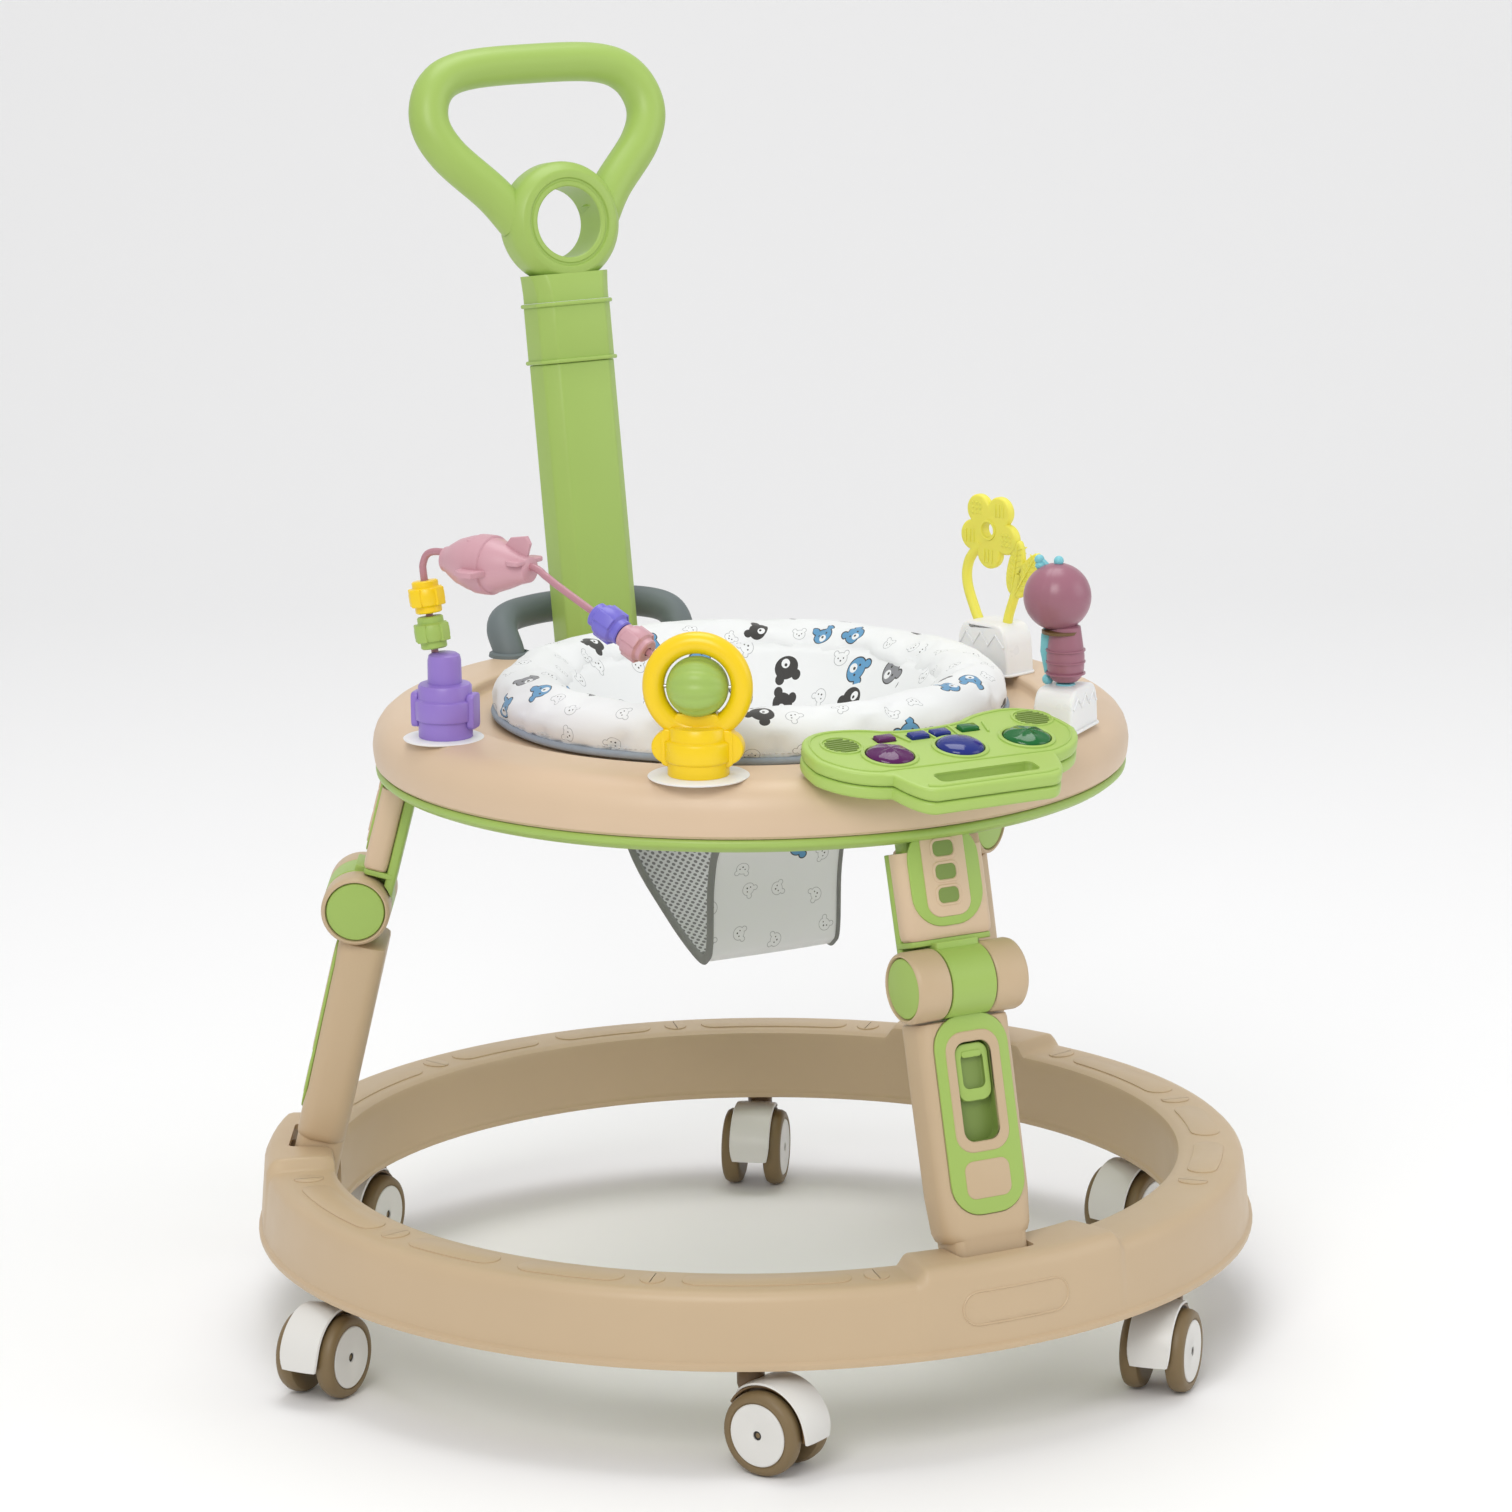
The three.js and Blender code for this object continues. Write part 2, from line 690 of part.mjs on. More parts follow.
// ---------------------------------------------------------------- seat
function makeSeatRim() {
  const outer = rimRadius;
  const inner = rimRadius - rimWidth;
  const low = ledgeTop + gap;
  const outline = [
    [outer - 6, low],
    [outer, low + 5],
    [outer - 5, low + 20],
    [outer - 13, low + 31],
    [outer - 25, low + rimHeight],
    [outer - 38, low + 34],
    [inner + 3, low + 26],
    [inner, low + 15],
    [inner + 5, low + 4],
    [inner + 16, low],
  ];
  return named("seat_rim", turned(outline, 36), cloth);
}

// The hanging seat strip, seen from the side: down at the front, round the crotch, up to the back.
function makeSling() {
  const top = ledgeTop - 2;
  const low = trayBottom - slingDepth;
  const reach = trayHole - 24;
  const path = [
    [-reach, top],
    [-96, top - 26],
    [-46, top - 74],
    [-33, top - 105],
    [-30, low + 16],
    [-24, low + 4],
    [-12, low + 3],
    [30, low + 24],
    [86, low + 62],
    [reach - 8, top - 40],
    [reach + 3, top],
  ];
  const outline = offsetStrip(path, slingCloth);
  const shape = new THREE.Shape(outline.map(([y, z]) => new THREE.Vector2(y, z)));
  const strip = extruded(shape, slingWidth, { ry: 90, rz: 90, x: -slingWidth / 2 });
  return named("seat_sling", strip, cloth);
}

// A strip of even thickness below a path of points.
function offsetStrip(path, thickness) {
  const shifted = path.map(([y, z], i) => {
    const [y0, z0] = path[Math.max(i - 1, 0)];
    const [y1, z1] = path[Math.min(i + 1, path.length - 1)];
    const length = Math.hypot(y1 - y0, z1 - z0);
    return [y + ((z1 - z0) / length) * thickness, z - ((y1 - y0) / length) * thickness];
  });
  return [...path, ...shifted.reverse()];
}

// ---------------------------------------------------------------- push handle and rear rail
const collar = { proud: 1.6, height: 3.2 };

function makePushBar() {
  const made = barSection(0, -barDown, barLength - gap).subtract(
    barSection(-wall, -barDown - 1, barLength),
  );
  return named("push_bar", made, lime);
}

function makeCoupler() {
  const end = barLength + couplerLength;
  const spigot = 26;
  const made = join(
    barSection(0, barLength, end - gap),
    barSection(collar.proud, barLength, barLength + collar.height),
    barSection(collar.proud, end - gap - collar.height, end - gap),
    barSection(-wall - run, barLength - spigot, end - gap + 8),
  );
  return named("push_bar_coupler", made.subtract(rod(9, 120, { z: barLength + 10 }, 16)), lime);
}

function makePushHead() {
  const from = barLength + couplerLength;
  const hub = turned(
    [
      [0, -hubDepth / 2],
      [hubRadius, -hubDepth / 2],
      [hubRadius, hubDepth / 4],
      [hubRadius - 7, hubDepth / 2],
      [0, hubDepth / 2],
    ],
    24,
    { rx: -90, z: hubReach },
  );
  const stub = barSection(0, from, hubReach).subtract(barSection(-wall, from - 1, from + 10));
  const w = gripHalfWidth;
  const half = [
    [34, 0, 4],
    [50, 0, 26],
    [w - 10, 0, gripRise * 0.47],
    [w, 0, gripRise * 0.68],
    [w - 9, 0, gripRise * 0.88],
    [w - 34, 0, gripRise * 0.98],
    [0, 0, gripRise],
  ];
  const other = half.slice(0, -1).reverse();
  const loop = tube(smoothCurve([...half.map(([x, y, z]) => [-x, y, z]), ...other]), gripTube, 24, 8)
    .rotate([-gripLean, 0, 0])
    .translate([0, 0, hubReach]);
  const bore = rodAlongY(hubBore, 2 * hubDepth, { z: hubReach }, 20);
  return named("push_head", join(hub, stub, loop).subtract(bore), lime);
}

const makeRail = () => named("rear_rail", tube(railCurve(), railTube, 24, 8), grey);

// ---------------------------------------------------------------- piano
// The piano's frame: x along it, y towards the seat, z out of its keys.
function pianoOutline(inset = 0) {
  const half = pianoLength / 2 - inset;
  const shape = new THREE.Shape();
  shape.moveTo(-half, -2);
  shape.quadraticCurveTo(-half, 44 - inset, -half + 34, 44 - inset);
  shape.quadraticCurveTo(-42, 42 - inset, -30, 33 - inset);
  shape.quadraticCurveTo(0, 25 - inset, 30, 33 - inset);
  shape.quadraticCurveTo(42, 42 - inset, half - 34, 44 - inset);
  shape.quadraticCurveTo(half, 44 - inset, half, -2);
  shape.quadraticCurveTo(half - 8, -30 + inset, 62 - inset, -38 + inset);
  if (inset === 0) {
    shape.quadraticCurveTo(54, -68, 42, -70);
    shape.lineTo(-46, -70);
    shape.quadraticCurveTo(-58, -68, -62, -38);
  } else {
    shape.lineTo(-62 + inset, -38 + inset);
  }
  shape.quadraticCurveTo(-half + 8, -30 + inset, -half, -2);
  return shape;
}

const domes = [
  { name: "purple", x: -48, y: -9, material: deepPurple },
  { name: "blue", x: 5, y: -10, material: deepBlue },
  { name: "green", x: 57, y: -9, material: deepGreen },
];
const keys = [
  { name: "purple", x: -37, y: 17, material: deepPurple },
  { name: "blue_1", x: -12.5, y: 15, material: deepBlue },
  { name: "blue_2", x: 4, y: 15, material: deepBlue },
  { name: "green", x: 27, y: 17, material: deepGreen },
];
const keySize = { x: 14, y: 9 };
const caseSeam = pianoHeight / 2;
const buttonFoot = caseSeam + 2.2;

function makePiano() {
  const slot = roundRect(2 * slotHalfWidth, 15, 4, 0, -52);
  const openSlot = extruded(slot, 60, { z: -20 }, 3);
  const plugs = [];
  for (const { x, y } of domes) plugs.push(rod(domeRadius + run, 40, { x, y, z: 20 }, 16));
  for (const { x, y } of keys) {
    plugs.push(box(keySize.x + 2 * run, keySize.y + 2 * run, 40, { x, y, z: 20 }));
  }
  const hollowTop = extruded(pianoOutline(wall), caseSeam - wall, { z: caseSeam }, 4);
  const hollowBottom = extruded(pianoOutline(wall), caseSeam, { z: wall }, 4);
  const top = extruded(pianoOutline(), caseSeam - gap, { z: caseSeam + gap }, 4);
  const bottom = extruded(pianoOutline(), caseSeam, {}, 4);
  const parts = [
    named("piano_case_top", cut(top, hollowTop, openSlot, ...plugs), paleLime),
    named("piano_case_bottom", cut(bottom, hollowBottom, openSlot), paleLime),
  ];
  for (const { name, x, y, material } of domes) {
    const r = domeRadius;
    const outline = [
      [0, buttonFoot],
      [r, buttonFoot],
      [r, pianoHeight + 1],
      [r * 0.75, pianoHeight + 5],
      [0, pianoHeight + 7.2],
    ];
    parts.push(named("piano_dome_" + name, turned(outline, 16, { x, y }), material));
  }
  for (const { name, x, y, material } of keys) {
    const height = pianoHeight + 2.4 - buttonFoot;
    const key = box(keySize.x, keySize.y, height, { x, y, z: buttonFoot + height / 2 });
    parts.push(named("piano_key_" + name, key, material));
  }
  return group(parts, {
    ...pianoCentre,
    z: trayTop - 1.1,
    rx: pianoTilt,
  });
}

// ---------------------------------------------------------------- arch toy
// The wire stands in an upright plane from the purple base to the yellow hoop: u along, z up.
const startSpot = onTray(archStart);
const endSpot = onTray(archEnd);
const archSpan = Math.hypot(endSpot.x - startSpot.x, endSpot.y - startSpot.y);
const archTurn = THREE.MathUtils.radToDeg(
  Math.atan2(endSpot.y - startSpot.y, endSpot.x - startSpot.x),
);
const archFrame = { ...startSpot, z: trayTop + gap, rz: archTurn };
const mast = { from: [-5, 40], to: [-16, 108] }; // the wire's straight rise, [u, z]
const glide = { from: [100, archRise - 14], to: [archSpan - 31, hoopRise + 14] };

function archCurve() {
  const at = ([u, z]) => new THREE.Vector3(u, 0, z);
  const path = new THREE.CurvePath();
  path.add(new THREE.LineCurve3(at(mast.from), at(mast.to)));
  path.add(
    new THREE.CubicBezierCurve3(
      at(mast.to),
      at([mast.to[0] - 2.6, mast.to[1] + 14]),
      at([-11, archRise + 0.5]),
      at([5, archRise]),
    ),
  );
  path.add(new THREE.LineCurve3(at([5, archRise]), at([76, archRise - 2.2])));
  const slope = (glide.to[1] - glide.from[1]) / (glide.to[0] - glide.from[0]);
  path.add(
    new THREE.CubicBezierCurve3(
      at([76, archRise - 2.2]),
      at([84, archRise - 2.45]),
      at([glide.from[0] - 9, glide.from[1] - 9 * slope]),
      at(glide.from),
    ),
  );
  path.add(new THREE.LineCurve3(at(glide.from), at(glide.to)));
  return path;
}

const beadSlope = THREE.MathUtils.radToDeg(
  Math.atan2(glide.from[1] - glide.to[1], glide.to[0] - glide.from[0]),
);
const mastLean = THREE.MathUtils.radToDeg(
  Math.atan2(mast.to[0] - mast.from[0], mast.to[1] - mast.from[1]),
);

// A point on the straight glide, or on the mast, at a distance u along the arch.
function onGlide(u) {
  const share = (u - glide.from[0]) / (glide.to[0] - glide.from[0]);
  return { x: u, z: glide.from[1] + share * (glide.to[1] - glide.from[1]) };
}
function onMast(z) {
  const share = (z - mast.from[1]) / (mast.to[1] - mast.from[1]);
  return { x: mast.from[0] + share * (mast.to[0] - mast.from[0]), z };
}

// A bead with its bore along z, centred on the origin.
function bead(radius, length, material, name, at) {
  const half = length / 2;
  const bore = wireRadius + 0.8;
  const outline = [
    [bore, -half],
    [radius * 0.74, -half],
    [radius, -half * 0.35],
    [radius, half * 0.35],
    [radius * 0.74, half],
    [bore, half],
  ];
  return group([named(name, turned(outline, 14), material)], at);
}

function makeArchBase() {
  const outline = [
    [0, 0],
    [17.5, 0],
    [18.5, 10],
    [18.5, 36],
    [11, 39],
    [10.5, 57],
    [8, 58],
    [0, 58],
  ];
  const band = turned([[0, 12], [20.5, 12], [20.5, 27], [0, 27]], 20);
  const wing = box(8, 16, 24, { x: 18.5, z: 19 });
  const room = tube(archCurve(), wireRadius + 0.4, 24, 6);
  return named("arch_base", cut(join(turned(outline, 20), band, wing), room), purple);
}

function makeArch() {
  const wire = named("arch_wire", tube(archCurve(), wireRadius, 24, 6), wirePink);
  const length = 72;
  const body = turned(
    [
      [0, -length / 2],
      [8, -length / 2],
      [19, -length / 10],
      [17, length / 4],
      [8.6, length / 2],
      [0, length / 2],
    ],
    16,
    { x: -3.5 },
  );
  const wings = box(4, 58, 17, { x: -6, z: -8 });
  const fin = box(26, 3.5, 13, { x: 6, z: -length / 2 + 8 });
  const tail = box(3.5, 34, 12, { x: 2, z: -length / 2 + 8 });
  const bore = rod(7.2, length + 4, {}, 12);
  const plane = named("toy_plane", join(body, wings, fin, tail).subtract(bore), pink);
  const planeAt = { x: 40, z: archRise - 1.1, ry: -90 };
  const parts = [
    wire,
    group([plane], planeAt),
    bead(13, 22, lime, "bead_green", { ...onMast(71), ry: mastLean }),
    bead(13.2, 22, yellow, "bead_yellow", { ...onMast(95), ry: mastLean }),
    bead(12.5, 25, violet, "bead_violet", { ...onGlide(violetBeadAt), ry: 90 + beadSlope }),
    bead(12, 22, pink, "bead_pink", { ...onGlide(violetBeadAt + beadPitch * Math.cos(degToRad(beadSlope))), ry: 90 + beadSlope }),
    makeArchBase(),
  ];
  return group(parts, archFrame);
}

function makeHoopStand() {
  const base = turned(
    [
      [0, 0],
      [20.5, 0],
      [20.5, 10],
      [22.5, 11],
      [22.5, 23],
      [19, 25],
      [19, 33],
      [0, 33],
    ],
    16,
  );
  const wings = roundRect(61, 22, 10.5, 0, 19);
  const wing = extruded(wings, 12, { rx: 90, y: 6 }, 5);
  const hoop = solid(
    place(new THREE.TorusGeometry(hoopRadius, hoopTube, 8, 24), { rx: 90, z: hoopRise }),
  );
  const pinSockets = rod(1.7, 2 * hoopRadius, { z: hoopRise, ry: 90 }, 12);
  const wirePath = tube(archCurve(), wireRadius + 0.4, 24, 6);
  const turnBack = archFrame.rz - (archEnd.at + 90);
  const wireRoom = wirePath
    .translate([-archSpan, 0, 0])
    .rotate([0, 0, turnBack]);
  const made = cut(join(base, wing, hoop), pinSockets, wireRoom);
  return group([named("hoop_stand", made, yellow), makeBall()], {
    ...endSpot,
    z: trayTop + gap,
    rz: archEnd.at + 90,
  });
}

// The spinning ball, on two pins in the hoop.
function makeBall() {
  const ball = solid(place(new THREE.SphereGeometry(ballRadius, 14, 8), { rx: 90 }));
  const pins = rod(1.4, 2 * (hoopRadius - hoopTube + 3), { ry: 90 }, 12);
  const mesh = named("spinner_ball", join(ball, pins), lime);
  mesh.position.z = hoopRise;
  return mesh;
}

// ---------------------------------------------------------------- flower and bug toys
function toyBaseBlock(h) {
  const { width: w, depth: d } = toyBase;
  const side = new THREE.Shape();
  side.moveTo(-w / 2, 0);
  side.lineTo(w / 2, 0);
  side.lineTo(w / 2 - 1.5, h * 0.62);
  side.quadraticCurveTo(w / 2 - 4, h, w / 2 - 14, h);
  side.lineTo(14 - w / 2, h);
  side.quadraticCurveTo(4 - w / 2, h, 1.5 - w / 2, h * 0.62);
  side.lineTo(-w / 2, 0);
  return extruded(side, d, { rx: 90, y: d / 2 }, 4);
}

function flowerShape() {
  const shape = new THREE.Shape();
  const petals = 5;
  const steps = 30;
  for (let i = 0; i < steps; i++) {
    const a = (2 * Math.PI * i) / steps;
    const r = 22 + 6.5 * Math.cos(petals * a);
    const x = r * Math.sin(a);
    const y = -r * Math.cos(a);
    if (i === 0) shape.moveTo(x, y);
    else shape.lineTo(x, y);
  }
  shape.closePath();
  const hole = new THREE.Path();
  hole.absarc(0, 0, 5, 0, 2 * Math.PI, true);
  shape.holes.push(hole);
  return shape;
}

function makeFlower() {
  const h = toyBase.height;
  const stalkRadius = 3.6;
  const flowerUp = 100.8;
  const stalk = smoothCurve([
    [-12, 0, h - 16],
    [-19, 0, h + 4],
    [-27, 0, h + 24],
    [-25, 0, h + 40],
    [-13, 0, flowerUp - 10],
  ]);
  const leafStalk = smoothCurve([
    [11, 0, h - 16],
    [13, 0, h + 4],
    [19, 0, h + 20],
    [24, 0, h + 34],
  ]);
  const foot = box(26, 10, 6, { z: h - 15 });
  const flower = extruded(flowerShape(), 6, { x: -4, y: 3, z: flowerUp, rx: 90 }, 5);
  const leafShape = new THREE.Shape();
  leafShape.absellipse(0, 0, 7.5, 20, 0, 2 * Math.PI);
  const leaf = (tilt, x) => {
    const flat = extruded(leafShape, 5, { y: 2.5, rx: 90 }, 8);
    return flat.rotate([0, tilt, 0]).translate([x, 0, h + 38]);
  };
  const plant = join(
    tube(stalk, stalkRadius, 10, 6),
    tube(leafStalk, stalkRadius, 7, 6),
    foot,
    flower,
    leaf(10, 21),
    leaf(32, 30),
  );
  const room = join(
    tube(stalk, stalkRadius + 0.5, 10, 6),
    tube(leafStalk, stalkRadius + 0.5, 7, 6),
    box(26 + 2 * gap, 10 + 2 * gap, 6 + 2 * gap, { z: h - 15 }),
    box(40, 5, 8, { z: 2 }),
  );
  const shaft = box(32, 11, h, { z: h / 2 - 12 });
  const base = cut(toyBaseBlock(h), room, shaft);
  return group(
    [named("flower_base", base, white), named("flower_stems", plant, paleYellow)],
    { ...onTray(flowerPlace), z: trayTop + gap, rz: flowerPlace.turn },
  );
}

function makeBug() {
  const h = toyBase.bugHeight;
  const headUp = 90;
  const head = solid(
    place(new THREE.SphereGeometry(23, 14, 9), { rx: 90, y: -6, z: headUp }),
  );
  const torso = turned(
    [
      [0, h + 2.4],
      [8, h + 2.4],
      [12.5, h + 10],
      [12, h + 22],
      [9, headUp - 18],
      [0, headUp - 14],
    ],
    14,
  );
  const stem = rod(3, 20, { z: h - 6 }, 12);
  const wings = box(7, 14, 34, { y: -14, z: h + 22 });
  const feelers = [-1, 1].map((side) =>
    solid(place(new THREE.SphereGeometry(4.5, 8, 6), { y: side * 6 - 13, z: headUp + 22 })),
  );
  const bug = join(head, torso, stem, wings, ...feelers);
  const well = rod(3 + run, 30, { z: h - 2.5 }, 12);
  const hollow = box(toyBase.width - 12, toyBase.depth - 8, 20, { z: 4 });
  const base = cut(toyBaseBlock(h), well, hollow);
  return group([named("bug_base", base, white), named("toy_bug", bug, mauve)], {
    ...onTray(bugPlace),
    z: trayTop + gap,
    rz: bugPlace.turn,
  });
}

// ---------------------------------------------------------------- the walker
const walker = new THREE.Group();
walker.add(makeBaseRing());
walker.add(...casters.map(makeCaster));
walker.add(...legs.map(makeLeg));
walker.add(makeTrayTop(), makeTrayBottom());
walker.add(makeSeatRim(), makeSling());
walker.add(group([makePushBar(), makeCoupler(), makePushHead()], barPlace));
walker.add(makeRail());
walker.add(makePiano());
walker.add(makeArch(), makeHoopStand());
walker.add(makeFlower(), makeBug());

// The left caster trails beyond the ring, so the footprint's centre lies a little off the ring's.
walker.position.x = footprintShift;

export default walker;
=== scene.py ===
"""Looks of the baby walker: every visible piece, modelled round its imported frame."""

import math

import bmesh
import bpy
import numpy as np
from mathutils import Matrix, Vector, noise


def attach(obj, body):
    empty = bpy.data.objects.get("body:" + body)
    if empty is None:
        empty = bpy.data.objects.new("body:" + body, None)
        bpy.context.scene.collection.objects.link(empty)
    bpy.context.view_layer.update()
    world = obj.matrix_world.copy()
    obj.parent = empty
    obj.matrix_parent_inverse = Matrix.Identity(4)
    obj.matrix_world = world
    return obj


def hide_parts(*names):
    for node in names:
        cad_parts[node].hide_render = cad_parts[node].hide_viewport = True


bl_info = {
    "name": "Baby walker",
    "version": (1, 0, 0),
    "blender": (4, 5, 0),
    "location": "3D View > Sidebar > Walker",
    "description": "Builds the looks of a folding baby walker",
    "category": "Object",
}

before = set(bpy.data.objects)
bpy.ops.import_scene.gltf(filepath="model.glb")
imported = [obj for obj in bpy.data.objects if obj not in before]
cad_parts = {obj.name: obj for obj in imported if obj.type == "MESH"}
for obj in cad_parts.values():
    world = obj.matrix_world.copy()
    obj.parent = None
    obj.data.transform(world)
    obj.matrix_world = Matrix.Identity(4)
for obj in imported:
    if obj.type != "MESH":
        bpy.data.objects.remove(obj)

# Lengths are in millimetres and angles in degrees, unless a comment says otherwise.
MM = 0.001
RING_X = 14.8  # the ring's centre lies this far from the origin
TRAY_TOP = 440.06
LEGS = {"front": -90, "right": 30, "left": 150}  # where each leg stands on the ring
FOOT = (314.0, 95.0)  # a foot's pivot: out from the ring's centre, and up
KNEE = (274.70, 301.53)
KNEE_ON_LEG = (10, 0, 210)  # the knee's axis, from the foot's pivot along the lower leg
LOWER_LEAN, UPPER_LEAN = -13.5, -14.7
SOCKET_REACH, FRONT_REACH = 11.5, 16.5  # how far the ring is raised beside a foot
STEP_WIDTH = 1.5  # the angle over which the ring steps up
CASTER_CIRCLE = 326.6
TRAIL, AXLE = 20, 28.5  # the wheels' axle: behind the stem, and up
CASTERS = {  # place on the ring, and the way the wheels trail
    "front_right": (-60, 220.7),
    "front_left": (-120, 295.7),
    "left": (180, 212.7),
    "rear_left": (120, 215.7),
    "rear_right": (60, 230.7),
    "right": (0, 205.7),
}


# ------------------------------------------------------------------ settings
class WalkerSizes(bpy.types.PropertyGroup):
    """Sizes that the looks add to the frame, in millimetres."""

    stitch_pitch: bpy.props.FloatProperty(
        name="Stitch pitch", description="From one stitch to the next", default=4.2, min=2
    )
    stitch_width: bpy.props.FloatProperty(
        name="Stitch width", description="Thickness of the thread", default=0.55, min=0.2
    )
    piping: bpy.props.FloatProperty(
        name="Piping", description="Radius of the seat rim's piping", default=2.6, min=1
    )
    binding: bpy.props.FloatProperty(
        name="Binding", description="Width of the tape along the seat strip", default=7.2, min=3
    )
    cloth_excess: bpy.props.FloatProperty(
        name="Cloth excess", description="How loose the rim's cover is", default=0.018, min=0
    )
    print_pitch: bpy.props.FloatProperty(
        name="Print pitch", description="From one printed motif to the next", default=30.0, min=10
    )


class WalkerColours(bpy.types.PropertyGroup):
    """The walker's colours, as linear values."""

    beige: bpy.props.FloatVectorProperty(
        name="Tray", description="Tray and leg shells", subtype="COLOR",
        default=(0.655, 0.490, 0.335),
    )
    sand: bpy.props.FloatVectorProperty(
        name="Base", description="Base ring and lower legs", subtype="COLOR",
        default=(0.555, 0.415, 0.262),
    )
    lime: bpy.props.FloatVectorProperty(
        name="Lime", description="Lime mouldings", subtype="COLOR",
        default=(0.345, 0.500, 0.110),
    )
    tyre: bpy.props.FloatVectorProperty(
        name="Tyres", description="Caster tyres", subtype="COLOR",
        default=(0.190, 0.130, 0.058),
    )


def sizes():
    return bpy.context.scene.walker_sizes


def colours():
    return bpy.context.scene.walker_colours


# ------------------------------------------------------------------ materials
class Tree:
    """Short calls for building a material's node tree."""

    def __init__(self, name):
        self.material = bpy.data.materials.new(name)
        self.material.use_nodes = True
        self.tree = self.material.node_tree
        self.shader = self.tree.nodes["Principled BSDF"]

    def node(self, kind, **settings):
        made = self.tree.nodes.new(kind)
        for key, value in settings.items():
            setattr(made, key, value)
        return made

    def put(self, value, socket):
        if isinstance(value, bpy.types.NodeSocket):
            self.tree.links.new(value, socket)
        elif value is not None:
            socket.default_value = value

    def math(self, operation, a, b=None, c=None):
        made = self.node("ShaderNodeMath", operation=operation)
        for value, socket in zip((a, b, c), made.inputs):
            self.put(value, socket)
        return made.outputs[0]

    def vector(self, operation, a, b=None):
        made = self.node("ShaderNodeVectorMath", operation=operation)
        self.put(a, made.inputs[0])
        self.put(b, made.inputs[1])
        return made.outputs["Vector"]

    def mix(self, share, a, b):
        made = self.node("ShaderNodeMix", data_type="RGBA")
        self.put(share, made.inputs[0])
        self.put((*a, 1) if isinstance(a, tuple) else a, made.inputs[6])
        self.put((*b, 1) if isinstance(b, tuple) else b, made.inputs[7])
        return made.outputs[2]

    def noise(self, coordinates, scale, detail=2.0):
        made = self.node("ShaderNodeTexNoise")
        self.put(coordinates, made.inputs["Vector"])
        made.inputs["Scale"].default_value = scale
        made.inputs["Detail"].default_value = detail
        return made.outputs["Fac"]

    def bump(self, height, strength, distance):
        made = self.node("ShaderNodeBump")
        made.inputs["Strength"].default_value = strength
        made.inputs["Distance"].default_value = distance
        self.put(height, made.inputs["Height"])
        self.put(made.outputs["Normal"], self.shader.inputs["Normal"])

    def set(self, name, value):
        self.put(value, self.shader.inputs[name])


def shade(colour, factor):
    return tuple(min(1.0, c * factor) for c in colour)


def plastic(name, colour, rough=0.42, grain=0.5, soft=0.0):
    """Moulded plastic: a faint mottling, a fine grain and uneven gloss."""
    t = Tree(name)
    place = t.node("ShaderNodeTexCoord").outputs["Object"]
    broad = t.noise(place, 9.0)
    fine = t.noise(place, 900.0, 1.0)
    t.set("Base Color", t.mix(broad, shade(colour, 0.95), shade(colour, 1.05)))
    t.set("Roughness", t.math("MULTIPLY_ADD", t.noise(place, 45.0), 0.14, rough - 0.07))
    t.bump(fine, grain * 0.35, 0.00012)
    if soft:
        t.set("Subsurface Weight", soft)
        t.set("Subsurface Radius", (0.004, 0.003, 0.002))
        t.set("Subsurface Scale", 1.0)
    return t.material


def metal(name, colour, rough):
    t = Tree(name)
    place = t.node("ShaderNodeTexCoord").outputs["Object"]
    t.set("Base Color", (*colour, 1))
    t.set("Metallic", 1.0)
    t.set("Roughness", t.math("MULTIPLY_ADD", t.noise(place, 60.0), 0.2, rough - 0.1))
    return t.material


def weave(t, flat, pitch):
    """Height of a plain weave over flat coordinates in metres."""
    parts = t.node("ShaderNodeSeparateXYZ")
    t.put(flat, parts.inputs[0])
    turn = 2 * math.pi / pitch
    across = t.math("SINE", t.math("MULTIPLY", parts.outputs[0], turn))
    along = t.math("SINE", t.math("MULTIPLY", parts.outputs[1], turn))
    return t.math("MULTIPLY", across, along)


